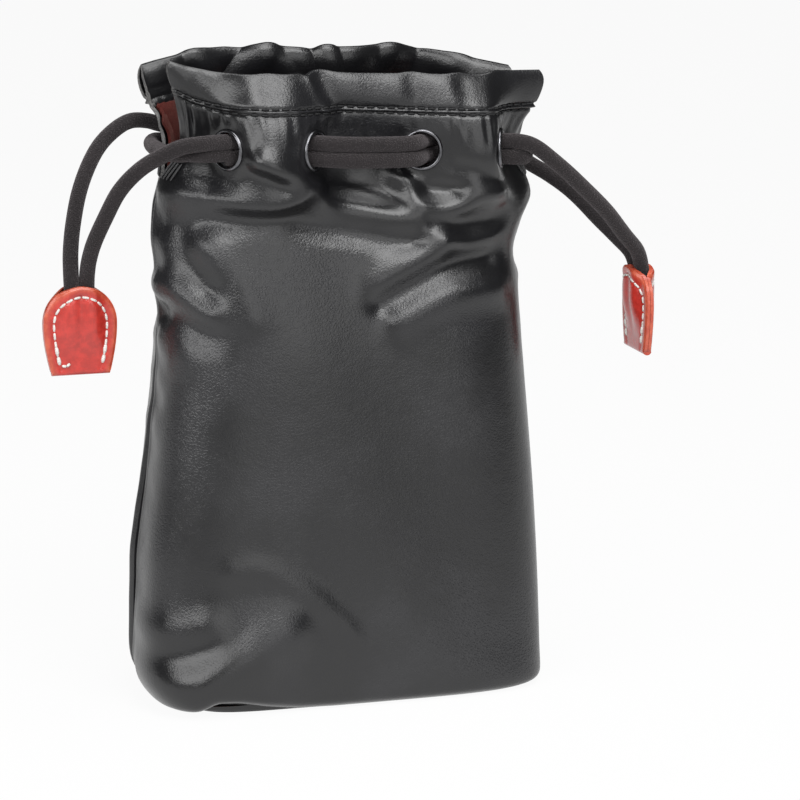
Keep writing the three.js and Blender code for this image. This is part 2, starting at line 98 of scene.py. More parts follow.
# Eyelets: their bore and washer, their hole in the leather, and how far round them it is pressed flat
BORE_RADIUS = 0.00515
WASHER_RADIUS = 0.0069
HOLE_RADIUS = 0.0058
HOLE_REACH = 0.006
FLAT_RADIUS = 0.0072
FLAT_FADE = 0.0040

# Cord routes, as the solids have them: the pair through the front flap with its twist in degrees
CORD_RADIUS = 0.00247
CORD_STEP = 0.0012
STRAND_OFFSET = 0.0025
TWIST_SPREAD = 0.15
PAIR_ROUTE = (
    (-0.0464, -0.0224, 0), (-0.0415, -0.0205, 0), (-0.0365, -0.0186, 0), (-0.0305, -0.018, 0),
    (-0.0245, -0.0182, 0), (-0.019, -0.0194, 0), (-0.014, -0.0225, 0), (-0.0096, -0.0256, 0),
    (-0.0045, -0.027, 0), (0.002, -0.0272, 0), (0.008, -0.0266, 0), (0.013, -0.0256, 0),
    (0.0172, -0.0242, 0), (0.0202, -0.0212, 0), (0.0224, -0.0174, 0), (0.026, -0.0144, 15),
    (0.0315, -0.0138, 75), (0.037, -0.015, 150), (0.042, -0.0167, 180), (0.0475, -0.0185, 180),
    (0.0523, -0.0201, 180),
)
RIGHT_WRAP = (
    (0.0528, -0.0203), (0.0552, -0.0206), (0.0579, -0.0184), (0.0599, -0.013), (0.061, -0.0055),
    (0.0611, 0.002), (0.0603, 0.0095), (0.0582, 0.0158), (0.0546, 0.0206), (0.0503, 0.0229),
    (0.0471, 0.0226),
)
WRAP_INSET = 0.0022
WRAP_RISE = 0.0012
LEFT_FRONT_TAIL = (
    (-0.0465, -0.0224, 0.1795), (-0.0505, -0.0236, 0.1793), (-0.0569, -0.024, 0.1784),
    (-0.063, -0.0226, 0.1754), (-0.0691, -0.0196, 0.171), (-0.0747, -0.016, 0.1646),
    (-0.0783, -0.012, 0.157), (-0.081, -0.008, 0.1496), (-0.082, -0.0042, 0.1434),
    (-0.0821, -0.0012, 0.1384), (-0.0821, -0.0001, 0.134), (-0.0821, 0.0, 0.1305),
)
LEFT_BACK_TAIL = (
    (-0.0524, 0.0202, 0.1795), (-0.057, 0.021, 0.1806), (-0.0626, 0.0196, 0.1808),
    (-0.0678, 0.0174, 0.1787), (-0.0736, 0.0145, 0.1742), (-0.0783, 0.0115, 0.1682),
    (-0.0824, 0.008, 0.1607), (-0.0851, 0.005, 0.1521), (-0.0865, 0.0024, 0.1446),
    (-0.0869, 0.0007, 0.1386), (-0.0869, 0.0, 0.134), (-0.0869, 0.0, 0.1305),
)
RIGHT_FRONT_TAIL = (
    (0.053, -0.0204, 0.1795), (0.057, -0.0224, 0.1786), (0.0618, -0.0232, 0.1754), (0.0706, -0.0205, 0.168),
    (0.0827, -0.0145, 0.1552), (0.0932, -0.0079, 0.1435), (0.0992, -0.0045, 0.137),
    (0.1014, -0.0028, 0.1314), (0.1015, -0.0026, 0.1275),
)
RIGHT_BACK_TAIL = (
    (0.0467, 0.0225, 0.1795), (0.052, 0.024, 0.1794), (0.059, 0.0256, 0.1758), (0.0658, 0.0254, 0.1702),
    (0.0721, 0.024, 0.165), (0.0774, 0.0216, 0.161), (0.0836, 0.018, 0.1551), (0.0909, 0.012, 0.1461),
    (0.0966, 0.0074, 0.1396), (0.1002, 0.0044, 0.1352), (0.1014, 0.0028, 0.131), (0.1015, 0.0026, 0.1275),
)

# Folds of the leather: height, width and route in x and z across the front, and the same across the back
FRONT_FOLDS = (
    (0.0040, 0.0040, ((-0.056, 0.166), (-0.048, 0.1645), (-0.0375, 0.1632), (-0.028, 0.1632),
                      (-0.0232, 0.1664), (-0.0228, 0.170), (-0.027, 0.1735), (-0.034, 0.1765))),
    (-0.0024, 0.0027, ((-0.041, 0.1735), (-0.033, 0.1715), (-0.0265, 0.169))),
    (-0.0032, 0.0050, ((-0.052, 0.1575), (-0.0425, 0.1595), (-0.028, 0.1595), (-0.015, 0.1575),
                       (0.0015, 0.154), (0.0145, 0.152))),
    (0.0014, 0.0060, ((-0.0165, 0.186), (-0.0178, 0.177), (-0.0175, 0.169))),
    (0.0029, 0.0056, ((-0.0165, 0.1672), (-0.0142, 0.164), (-0.0082, 0.1618), (0.0015, 0.1598),
                      (0.0115, 0.1578), (0.018, 0.1565), (0.0228, 0.153), (0.0242, 0.1498),
                      (0.020, 0.146), (0.0132, 0.1424), (0.005, 0.1378))),
    (-0.0016, 0.0050, ((-0.0105, 0.1695), (0.0005, 0.168), (0.0095, 0.1655))),
    (0.0026, 0.0038, ((0.014, 0.170), (0.0172, 0.164), (0.0232, 0.160), (0.0298, 0.160), (0.036, 0.164),
                      (0.0415, 0.165))),
    (-0.0020, 0.0034, ((0.0225, 0.1665), (0.0295, 0.1665))),
    (-0.0012, 0.0030, ((0.031, 0.1735), (0.037, 0.1728), (0.042, 0.170))),
    (-0.0026, 0.0044, ((0.023, 0.1555), (0.032, 0.1545), (0.042, 0.155))),
    (0.0019, 0.0038, ((0.027, 0.150), (0.034, 0.1486), (0.043, 0.149))),
    (-0.0036, 0.0046, ((0.0055, 0.1325), (0.016, 0.1375), (0.0265, 0.142), (0.043, 0.144))),
    (0.0025, 0.0052, ((0.012, 0.1265), (0.026, 0.1325), (0.044, 0.1345))),
    (0.0018, 0.0060, ((-0.052, 0.159), (-0.0475, 0.150), (-0.0405, 0.139), (-0.037, 0.130))),
    (-0.0030, 0.0048, ((-0.0565, 0.157), (-0.0525, 0.147), (-0.0485, 0.1385))),
    (0.0024, 0.0046, ((-0.061, 0.139), (-0.0545, 0.1355), (-0.0485, 0.1295))),
    (-0.0022, 0.0042, ((-0.0615, 0.1305), (-0.055, 0.1275), (-0.049, 0.123))),
    (0.0012, 0.0048, ((-0.061, 0.1225), (-0.054, 0.117))),
    (0.0008, 0.0065, ((-0.0375, 0.203), (-0.038, 0.192))),
    (-0.0005, 0.0030, ((-0.030, 0.203), (-0.0305, 0.193))),
    (0.0007, 0.0060, ((-0.0235, 0.203), (-0.023, 0.192))),
    (0.0014, 0.0020, ((-0.015, 0.203), (-0.013, 0.197), (-0.009, 0.1905))),
    (-0.0012, 0.0026, ((-0.011, 0.203), (-0.0085, 0.197), (-0.0045, 0.192))),
    (0.0012, 0.0065, ((0.0, 0.2005), (0.010, 0.1995))),
    (-0.0008, 0.0032, ((-0.002, 0.194), (0.006, 0.1925), (0.014, 0.194))),
    (-0.0008, 0.0030, ((0.018, 0.203), (0.019, 0.194))),
    (0.0008, 0.0060, ((0.026, 0.202), (0.027, 0.192))),
    (-0.0006, 0.0028, ((0.0335, 0.203), (0.034, 0.193))),
    (0.0010, 0.0055, ((0.0395, 0.202), (0.040, 0.193))),
    (-0.0008, 0.0035, ((0.0475, 0.203), (0.0475, 0.192))),
    (0.0017, 0.0024, ((-0.041, 0.0475), (-0.035, 0.0478), (-0.029, 0.0455), (-0.0195, 0.0392),
                      (-0.0115, 0.0316), (-0.005, 0.0245))),
    (0.0023, 0.0050, ((-0.070, 0.0270), (-0.062, 0.0285), (-0.053, 0.0305), (-0.0475, 0.0322))),
    (-0.0016, 0.0042, ((-0.063, 0.0235), (-0.052, 0.0240), (-0.040, 0.0285))),
    (0.0046, 0.0085, ((-0.0610, 0.0035), (-0.0560, 0.0095), (-0.0490, 0.0172), (-0.0420, 0.0232),
                      (-0.0350, 0.0280), (-0.0290, 0.0312))),
    (0.0026, 0.0140, ((-0.0600, 0.0060), (-0.0520, 0.0140), (-0.0430, 0.0220))),
)
BACK_FOLDS = (
    (0.0024, 0.0045, ((-0.050, 0.166), (-0.036, 0.163), (-0.022, 0.168))),
    (-0.0030, 0.0065, ((-0.046, 0.156), (-0.020, 0.158), (0.010, 0.152))),
    (0.0026, 0.0042, ((-0.012, 0.172), (-0.006, 0.163), (0.012, 0.157), (0.030, 0.150), (0.044, 0.146))),
    (-0.0026, 0.0050, ((0.006, 0.142), (0.026, 0.140), (0.048, 0.134))),
    (0.0020, 0.0050, ((-0.050, 0.140), (-0.034, 0.133), (-0.018, 0.131))),
    (-0.0016, 0.0050, ((-0.056, 0.128), (-0.040, 0.121))),
    (0.0012, 0.0060, ((-0.030, 0.062), (-0.004, 0.055), (0.026, 0.060))),
    (0.0018, 0.0060, ((0.030, 0.024), (0.048, 0.018), (0.060, 0.024))),
    (-0.0016, 0.0050, ((0.034, 0.012), (0.056, 0.011))),
    (-0.0012, 0.0028, ((-0.044, 0.203), (-0.035, 0.192))),
    (0.0010, 0.0028, ((-0.027, 0.203), (-0.038, 0.193))),
    (-0.0014, 0.0030, ((-0.0205, 0.203), (-0.032, 0.192))),
    (-0.0013, 0.0028, ((-0.0185, 0.202), (-0.009, 0.192))),
    (0.0010, 0.0025, ((-0.005, 0.203), (-0.002, 0.192))),
    (-0.0014, 0.0020, ((0.0005, 0.203), (0.0035, 0.192))),
    (-0.0014, 0.0032, ((0.0225, 0.203), (0.0145, 0.192))),
    (0.0012, 0.0035, ((0.032, 0.203), (0.028, 0.192))),
    (-0.0010, 0.0035, ((0.045, 0.201), (0.057, 0.193))),
)

# The routes follow the lit slopes of the folds, so a crest lies this share of the fold's width from its route
LIT_SIDE = np.array([0.2, -0.65])

# How far the rims rise over their mean height along x, and how far the sides swell along z
FRONT_RIM = (
    (-0.0606, 0.0012), (-0.052, -0.0016), (-0.0443, -0.0026), (-0.013, -0.0018), (0.0236, -0.0020),
    (0.0605, -0.0018),
)
BACK_RIM = (
    (-0.0617, -0.0056), (-0.052, -0.0010), (-0.043, 0.0012), (-0.0265, 0.0022), (0.001, 0.0020),
    (0.0226, 0.0031), (0.0398, 0.0013), (0.055, -0.0022), (0.066, -0.0058),
)
LEFT_SWELL = (
    (0.0, -0.0044), (0.004, 0.0006), (0.009, 0.0052), (0.014, 0.0068), (0.05, 0.0068), (0.072, 0.0041),
    (0.103, 0.0014), (0.12, 0.0008), (0.14, 0.0022), (0.152, 0.0032), (0.166, 0.0),
)
RIGHT_SWELL = (
    (0.0, 0.0), (0.13, -0.0006), (0.141, -0.0022), (0.149, 0.0004), (0.156, 0.0045), (0.162, 0.0046),
    (0.168, 0.0020), (0.174, -0.0008), (0.181, 0.0),
)

# How much less the back swells away from its seam, and how far the front lip lifts off the ground along x
BACK_DRAW = 0.6
BASE_LIFT = (
    (-0.06, 0.0), (-0.0565, 0.0004), (-0.0515, 0.0034), (-0.044, 0.0030), (-0.034, 0.0014), (-0.022, 0.0003),
    (-0.01, 0.0),
)

# Rings of the base: share of the outline, share of the lip's lift and height
BASE_RINGS = (
    (0.998, 1.0, 0.0020), (0.998, 1.0, 0.0), (0.988, 0.3, 0.0), (0.975, 0.0, 0.0), (0.955, 0.0, 0.0007),
    (0.94, 0.0, 0.0), (0.6, 0.0, 0.0), (0.2, 0.0, 0.0),
)

# Rings of the base's lining: share of the outline and height
LINING_RINGS = ((0.92, 0.0024), (0.87, 0.0020), (0.6, 0.0022), (0.2, 0.0024))

# The mouth leans down to the right, and the hem narrows towards its left end
LEAN = 0.040
LEAN_MIDDLE = -0.015
LEAN_HEIGHTS = (0.148, 0.175)
STITCH_RISE = ((-0.0606, 0.0030), (-0.052, 0.0018), (-0.044, 0.0008), (-0.02, 0.0), (0.06, 0.0))

# How far the flaps' ends lie to the right of a plain slit, along z, and how far they open outwards
FRONT_LEFT_END = (
    (0.160, 0.0), (0.168, 0.002), (0.175, 0.0062), (0.182, 0.0050), (0.190, 0.0026), (0.203, 0.0006),
)
BACK_LEFT_END = (
    (0.160, 0.0), (0.170, 0.0016), (0.177, 0.0020), (0.184, 0.0), (0.194, -0.0020), (0.203, -0.0034),
)
FRONT_RIGHT_END = (
    (0.168, 0.0), (0.176, 0.0012), (0.182, 0.0034), (0.190, 0.0060), (0.197, 0.0066), (0.203, 0.0088),
)
BACK_RIGHT_END = ((0.170, 0.0), (0.186, 0.0012), (0.203, 0.0044))
END_OPENING = 0.0022

# Hem section: depth into the wall, and height over the stitching as a share of the hem
HEM_OUTSIDE = (
    (0.0, 0.0), (0.0, 0.06), (0.0, 0.12), (0.0001, 0.19), (0.0003, 0.34), (0.0010, 0.62), (0.0018, 0.86),
    (0.0028, 1.0), (0.0042, 0.93), (0.0048, 0.68), (0.0042, 0.38), (0.0028, 0.10), (0.0022, -0.03),
    (0.0022, -0.09),
)
HEM_INSIDE = (
    (0.0011, 0.02), (0.0011, 0.07), (0.0011, 0.13), (0.0012, 0.20), (0.0014, 0.34), (0.0021, 0.62),
    (0.0027, 0.82), (0.0031, 0.92), (0.0036, 0.86), (0.0037, 0.66), (0.0031, 0.40), (0.0017, 0.13),
    (0.00114, 0.02), (0.00114, -0.09),
)

# How far the lining lies off the leather, and how much further below the flaps, up to where that ends
LINING_GAP = 0.0009
LINING_SLACK = 0.0018
SLACK_HEIGHTS = (0.148, 0.160)

# How far the lining keeps from the ground and from the hem's stitching
LINING_FOOT = 0.0014
LINING_HEAD = 0.0008

# Bar tacks at the foot of the slits: columns from the seam, and heights
TACK_COLUMNS = (3, 7, 11, 15)
TACK_HEIGHTS = (0.1660, 0.1710)

# Radius of each thread, and how far a seam's thread lies over the leather
HEM_THREAD = 0.00036
TACK_THREAD = 0.0004
TAB_THREAD = 0.00042
THREAD_LIFT = 0.0002

# Stretches round the flaps' roots in z and along the wraps in y, where soft pieces would bend; no piece is
# bent with them
ROOT_BEND = (-0.012, 0.006)
WRAP_BEND = (0.005, 0.018)

# How far over its tab's top a tail is made in two pieces
TAIL_SPLIT = 0.010

# Facets
COLUMNS = 260
HEM_ROWS = 42
LINING_STEP = 2
SOFT_REACH = 3
CORD_SIDES = 20
THREAD_SIDES = 8
SHARP_ANGLE = 50.0
TAB_SHARP_ANGLE = 60.0


class PouchSettings(bpy.types.PropertyGroup):
    """Sizes and colours of the pouch"""

    leather: FloatProperty(
        name="Leather", description="Thickness of the leather", default=0.0011, unit="LENGTH",
    )
    suede: FloatProperty(
        name="Suede", description="Thickness of the suede lining", default=0.0009, unit="LENGTH",
    )
    fold_share: FloatProperty(
        name="Folds", description="How deep the folds are, as a share of their drawn depth", default=0.8,
        subtype="FACTOR",
    )
    pucker: FloatProperty(
        name="Pucker", description="Depth of the puckers along the seams", default=0.0006, unit="LENGTH",
    )
    stitch_length: FloatProperty(
        name="Stitch", description="Length of one hem stitch", default=0.0024, unit="LENGTH",
    )
    stitch_gap: FloatProperty(
        name="Stitch gap", description="Gap between two hem stitches", default=0.0008, unit="LENGTH",
    )
    stitch_rows: FloatProperty(
        name="Stitch rows", description="Distance between the two rows of hem stitches", default=0.0016,
        unit="LENGTH",
    )
    eyelet_sides: IntProperty(
        name="Eyelet sides", description="Facets round one eyelet", default=56, min=12,
    )
    leather_colour: FloatVectorProperty(
        name="Leather colour", description="Black of the outer leather", default=(0.007, 0.007, 0.008),
        subtype="COLOR",
    )
    # The suede's colour is darker than the suede's own: painted shade for the lining inside the pouch and its
    # slits
    shaded_suede_colour: FloatVectorProperty(
        name="Suede colour", description="Red-brown of the lining", default=(0.058, 0.0105, 0.0082),
        subtype="COLOR",
    )
    cord_colour: FloatVectorProperty(
        name="Cord colour", description="Dark brown-grey of the drawcord", default=(0.013, 0.0105, 0.0112),
        subtype="COLOR",
    )
    tab_colour: FloatVectorProperty(
        name="Tab colour", description="Red of the tabs' leather", default=(0.50, 0.030, 0.020),
        subtype="COLOR",
    )
    thread_colour: FloatVectorProperty(
        name="Thread colour", description="White of the tabs' thread", default=(0.80, 0.78, 0.74),
        subtype="COLOR",
    )
    metal_colour: FloatVectorProperty(
        name="Metal colour", description="Gunmetal of the eyelets", default=(0.16, 0.16, 0.17),
        subtype="COLOR",
    )


# Shader maths

class Shade:
    """A shader socket. Sums, differences and products add Math nodes, and node() any other."""

    def __init__(self, tree, output=None):
        self.tree = tree
        self.output = output

    def node(self, kind, settings=None, inputs=None, result=0):
        made = self.tree.nodes.new(kind)
        for name, value in (settings or {}).items():
            setattr(made, name, value)
        for name, value in (inputs or {}).items():
            if isinstance(value, Shade):
                self.tree.links.new(value.output, made.inputs[name])
            else:
                made.inputs[name].default_value = value
        return Shade(self.tree, made.outputs[result])

    def maths(self, operation, first, second):
        return self.node("ShaderNodeMath", {"operation": operation}, {0: first, 1: second})

    def __add__(self, other):
        return self.maths("ADD", self, other)

    def __radd__(self, other):
        return self.maths("ADD", other, self)

    def __sub__(self, other):
        return self.maths("SUBTRACT", self, other)

    def __rsub__(self, other):
        return self.maths("SUBTRACT", other, self)

    def __mul__(self, other):
        return self.maths("MULTIPLY", self, other)

    def __rmul__(self, other):
        return self.maths("MULTIPLY", other, self)

    def mix(self, low, high):
        """A colour between two others, where this value is 0 and where it is 1"""
        return self.node("ShaderNodeMix", {"data_type": "RGBA"}, {0: self, 6: low, 7: high}, 2)

    def between(self, low, high):
        """This value on a smooth step from low to high"""
        settings = {"interpolation_type": "SMOOTHSTEP"}
        return self.node("ShaderNodeMapRange", settings, {0: self, 1: low, 2: high})


def opaque(colour, share=1.0):
    return (*(share * channel for channel in colour), 1.0)


def shades_of(colour, darker, lighter):
    """A darker and a lighter shade of a colour"""
    return opaque(colour, darker), opaque(colour, lighter)


def new_material(name):
    """A material, a Shade to make its nodes with, and its bare Principled shader"""
    material = bpy.data.materials.new(name)
    material.use_nodes = True
    tree = material.node_tree
    return material, Shade(tree), tree.nodes["Principled BSDF"]


def feed(shade, shader, **sockets):
    """Links or sets the shader's sockets, whose names are given with _ for a space"""
    for name, value in sockets.items():
        socket = shader.inputs[name.replace("_", " ")]
        if isinstance(value, Shade):
            shade.tree.links.new(value.output, socket)
        else:
            socket.default_value = value


def noise(shade, where, scale, detail=3.0, roughness=0.55):
    inputs = {"Vector": where, "Scale": scale, "Detail": detail, "Roughness": roughness}
    return shade.node("ShaderNodeTexNoise", None, inputs)


def bump(shade, height, distance, under=None):
    inputs = {"Height": height, "Distance": distance, "Strength": 1.0}
    if under is not None:
        inputs["Normal"] = under
    return shade.node("ShaderNodeBump", None, inputs)


def position(shade):
    return shade.node("ShaderNodeTexCoord", None, None, "Object")


def black_leather(settings):
    """Glossy black leather with a fine pebbled grain and rubbed, greyer patches"""
    material, shade, shader = new_material("glossy_leather")
    where = position(shade)
    rubbed = noise(shade, where, 26.0, 4.0).between(0.42, 0.66)
    cloud = noise(shade, where, 9.0, 2.0)
    warp = shade.node("ShaderNodeTexNoise", None, {"Vector": where, "Scale": 420.0, "Detail": 2.0}, "Color")
    bent = shade.node("ShaderNodeMix", {"data_type": "VECTOR"}, {0: 0.0016, 4: where, 5: warp}, 1)
    cells = shade.node(
        "ShaderNodeTexVoronoi", {"feature": "DISTANCE_TO_EDGE"}, {"Vector": bent, "Scale": 950.0},
    )
    pebble = cells.between(0.0, 0.28)
    fine = noise(shade, where, 3200.0, 2.0)
    grain = pebble * (0.35 + 0.65 * rubbed) + 0.35 * fine
    creases = noise(shade, where, 150.0, 5.0, 0.6)
    soft = bump(shade, creases, 0.00014)
    colour = rubbed.mix(*shades_of(settings.leather_colour, 0.8, 1.7))
    feed(
        shade, shader, Base_Color=colour, Roughness=0.25 + 0.05 * rubbed + 0.07 * cloud,
        Normal=bump(shade, grain, 0.00004, soft), Specular_IOR_Level=0.7,
    )
    return material


def raw_edge():
    """Cut edge of the leather: its grey fabric backing"""
    material, shade, shader = new_material("raw_leather_edge")
    where = position(shade)
    fibre = noise(shade, where, 1800.0, 3.0)
    colour = fibre.between(0.3, 0.7).mix((0.07, 0.07, 0.07, 1.0), (0.19, 0.185, 0.18, 1.0))
    feed(shade, shader, Base_Color=colour, Roughness=0.8, Normal=bump(shade, fibre, 0.00008))
    return material


def red_suede(settings):
    """Brushed suede: short nap with darker and lighter strokes"""
    material, shade, shader = new_material("brushed_suede")
    where = position(shade)
    nap = noise(shade, where, 2400.0, 3.0, 0.7)
    strokes = noise(shade, where, 70.0, 3.0).between(0.35, 0.68)
    # The suede's colour carries painted shade, darker than the suede's own red-brown
    colour = (0.6 * strokes + 0.4 * nap).mix(*shades_of(settings.shaded_suede_colour, 0.55, 1.35))
    feed(
        shade, shader, Base_Color=colour, Roughness=0.95, Normal=bump(shade, nap, 0.00025),
        Specular_IOR_Level=0.2, Sheen_Weight=0.2, Sheen_Roughness=0.5,
        Sheen_Tint=opaque((0.9, 0.45, 0.38)),
    )
    return material


def woven_cord(settings):
    """Soft round drawcord with a close woven sleeve"""
    material, shade, shader = new_material("woven_cord")
    where = position(shade)
    cells = shade.node("ShaderNodeTexVoronoi", None, {"Vector": where, "Scale": 1700.0, "Randomness": 0.75})
    yarn = 1.0 - cells.between(0.1, 0.6)
    fuzz = noise(shade, where, 3000.0, 3.0, 0.7)
    worn = noise(shade, where, 90.0, 3.0).between(0.3, 0.7)
    colour = (0.55 * yarn + 0.45 * worn).mix(*shades_of(settings.cord_colour, 0.55, 1.3))
    feed(
        shade, shader, Base_Color=colour, Roughness=0.86,
        Normal=bump(shade, yarn + 0.5 * fuzz, 0.00018), Specular_IOR_Level=0.25,
        Sheen_Weight=0.25, Sheen_Roughness=0.6, Sheen_Tint=opaque((0.75, 0.68, 0.7)),
    )
    return material


def gunmetal(settings):
    """Dark plated metal with faint handling marks"""
    material, shade, shader = new_material("plated_metal")
    where = position(shade)
    smudge = noise(shade, where, 300.0, 4.0)
    scratch = noise(shade, where, 2600.0, 2.0)
    colour = smudge.between(0.35, 0.7).mix(*shades_of(settings.metal_colour, 0.8, 1.3))
    feed(
        shade, shader, Base_Color=colour, Metallic=1.0, Roughness=0.16 + 0.16 * smudge,
        Normal=bump(shade, scratch, 0.00001),
    )
    return material


def red_leather(settings):
    """Polished red leather, mottled, with orange burnished edges"""
    material, shade, shader = new_material("polished_leather")
    where = position(shade)
    edge = shade.node("ShaderNodeAttribute", {"attribute_name": "edge"}, None, "Fac")
    mottle = noise(shade, where, 420.0, 4.0, 0.6).between(0.35, 0.7)
    pores = noise(shade, where, 2600.0, 2.0)
    plain = mottle.mix(*shades_of(settings.tab_colour, 0.86, 1.16))
    burnt = mottle.mix((0.46, 0.055, 0.025, 1.0), (0.60, 0.11, 0.05, 1.0))
    feed(
        shade, shader, Base_Color=edge.mix(plain, burnt), Roughness=0.28 + 0.12 * mottle + 0.12 * edge,
        Normal=bump(shade, pores + 0.5 * mottle, 0.00005), Specular_IOR_Level=0.6,
        Coat_Weight=0.5, Coat_Roughness=0.1,
    )
    return material


def thread(name, colour):
    """Twisted sewing thread"""
    material, shade, shader = new_material(name)
    where = position(shade)
    fibre = noise(shade, where, 2600.0, 3.0, 0.7)
    shaded = fibre.between(0.3, 0.7).mix(*shades_of(colour, 0.72, 1.1))
    feed(shade, shader, Base_Color=shaded, Roughness=0.75, Normal=bump(shade, fibre, 0.00012))
    return material


def material_of(name, make, *arguments):
    """The material of that name, which is made the first time"""
    return bpy.data.materials.get(name) or make(*arguments)


# Meshes

def smooth(value, low, high):
    share = np.clip((value - low) / (high - low), 0.0, 1.0)
    return share * share * (3.0 - 2.0 * share)


def table_at(value, table, soft=0.0):
    """Values between a table's own, averaged over a stretch so that no kink shows"""
    places, values = np.array(table).T
    offsets = np.linspace(-1.5, 1.5, 7)
    weights = np.exp(-offsets ** 2)
    near = (np.interp(value + soft * offset, places, values) for offset in offsets)
    return sum(weight * found for weight, found in zip(weights, near)) / weights.sum()


def leaned(points):
    """Points of the mouth and its cords with the mouth's lean"""
    points = np.array(points, float)
    points[..., 2] -= LEAN * (points[..., 0] - LEAN_MIDDLE) * smooth(points[..., 2], *LEAN_HEIGHTS)
    return points


def piece(name, points, faces, materials, indices=None, sharp=None, rounded=True):
    """A mesh in the scene: rounded, with edges sharp past an angle if one is given, or flat all over"""
    mesh = bpy.data.meshes.new(name)
    mesh.from_pydata(np.asarray(points).reshape(-1, 3).tolist(), [], faces)
    for material in materials:
        mesh.materials.append(material)
    mesh.polygons.foreach_set("use_smooth", [rounded] * len(mesh.polygons))
    if indices is not None:
        mesh.polygons.foreach_set("material_index", np.asarray(indices, np.int32))
    mesh.update()
    if sharp is not None:
        mesh.set_sharp_from_angle(angle=math.radians(sharp))
    made = bpy.data.objects.new(name, mesh)
    bpy.context.scene.collection.objects.link(made)
    return made


def strip_faces(first, second):
    """Quads between two rows of vertex numbers"""
    return np.stack([first[:-1], first[1:], second[1:], second[:-1]], axis=1)


def grid_faces(numbers):
    """Quads of a grid of vertex numbers, facing out where columns go right and rows go up"""
    corners = (numbers[:-1, :-1], numbers[:-1, 1:], numbers[1:, 1:], numbers[1:, :-1])
    return np.stack([corner.reshape(-1) for corner in corners], axis=1)


def ring_numbers(rings, sides, first=0):
    """Vertex numbers of closed rings, and the same with each ring's first one again at its end"""
    numbers = first + np.arange(rings * sides).reshape(rings, sides)
    return numbers, np.concatenate([numbers, numbers[:, :1]], axis=1)


def tube_faces(rings, sides, first=0):
    """Quads round a tube of rings, and a lid on each of its ends"""
    numbers, looped = ring_numbers(rings, sides, first)
    return [*grid_faces(looped).tolist(), numbers[0][::-1].tolist(), numbers[-1].tolist()]


def step_lengths(route):
    """How far along a route each of its points lies"""
    return np.concatenate([[0.0], np.cumsum(np.linalg.norm(np.diff(route, axis=0), axis=1))])


def spline(points, count):
    """Points at even steps of the parameter on a smooth curve through the given ones"""
    points = np.asarray(points, float)
    place = np.linspace(0.0, len(points) - 1.0, count)
    return spline_at(points, place)


def spline_at(points, place):
    """Points of that curve at places that count in given points"""
    last = len(points) - 1
    index = np.clip(np.floor(place).astype(int), 0, last - 1)
    share = (place - index)[:, None]
    before, start, end, after = (points[np.clip(index + step, 0, last)] for step in (-1, 0, 1, 2))
    rise = (end - before) / 2.0
    leave = (after - start) / 2.0
    return (
        (2 * start - 2 * end + rise + leave) * share ** 3
        + (3 * end - 3 * start - 2 * rise - leave) * share ** 2
        + rise * share + start
    )


# The pouch's surface

def section_at(z):
    """Half the width, half the depth and the power of the plan at a height"""
    soft = 0.012 * (1.0 - smooth(z, 0.150, 0.180))
    width, depth, square = (
        table_at(z, [(station[0], station[place]) for station in STATIONS], soft) for place in (1, 2, 3)
    )
    drop = max(BASE_ROLL - max(z, 0.0), 0.0)
    inset = BASE_ROLL - math.sqrt(BASE_ROLL ** 2 - drop ** 2)
    return width / 2 - inset, depth / 2 - inset, 2 / square


def plain_row(shares, z):
    """Points of the ungathered plan at shares of its front, from the left seam to the right"""
    half_width, half_depth, power = section_at(z)
    angle = np.linspace(0.0, math.pi, 181)
    x = -half_width * np.sign(np.cos(angle)) * np.abs(np.cos(angle)) ** power
    y = -half_depth * np.abs(np.sin(angle)) ** power
    lengths = step_lengths(np.stack([x, y], axis=1))
    wanted = shares * lengths[-1]
    return np.stack([np.interp(wanted, lengths, x), np.interp(wanted, lengths, y)], axis=1)


def gather_share(z):
    """How far the wall follows the gathered plan at a height"""
    to_rim = smooth(z, EYELET_HEIGHT, RIM_HEIGHT)
    return smooth(z, GATHER_START, EYELET_HEIGHT) * (1.0 + (GATHER_AT_RIM - 1.0) * to_rim)


def wall_row(shares, z):
    """Points of the wall's plan at a height, between the plain plan and the gathered one"""
    gathered = spline_at(np.array(GATHERS), shares * (len(GATHERS) - 1))
    plain = plain_row(shares, z)
    return plain + (gathered - plain) * gather_share(z)


def slit_shares(z):
    """The shares between which a flap runs at a height: all of it below the slits"""
    half = SLIT_WIDTH * max(z - ROOT_HEIGHT, 0.0) / (2 * (RIM_HEIGHT - ROOT_HEIGHT))
    tests = np.linspace(0.0, 0.25, 101)
    left = np.interp(half, -wall_row(tests, z)[:, 1], tests)
    right = np.interp(half, -wall_row(1.0 - tests, z)[:, 1], tests)
    return left, 1.0 - right


def eyelets():
    """Centre and outward normal of each front eyelet"""
    points = np.array(GATHERS)
    found = []
    for index in EYELET_POINTS:
        run = points[index + 1] - points[index - 1]
        normal = np.array([run[1], -run[0], 0.0]) / np.linalg.norm(run)
        found.append((np.array([*points[index], EYELET_HEIGHT]), normal))
    return found


def eyelet_hold(points):
    """How far the eyelets press each point flat, and where to"""
    held = points.copy()
    most = np.zeros(points.shape[:-1])
    for centre, normal in eyelets():
        offset = held - centre
        hold = 1.0 - smooth(np.linalg.norm(offset, axis=-1), FLAT_RADIUS, FLAT_RADIUS + FLAT_FADE)
        held = held - (hold * (offset @ normal))[..., None] * normal
        most = np.maximum(most, hold)
    return held, most


def normals_of(points):
    """Outward normals of a grid of points"""
    across = np.gradient(points, axis=1)
    up = np.gradient(points, axis=0)
    normal = np.cross(across, up)
    return normal / np.linalg.norm(normal, axis=-1, keepdims=True)


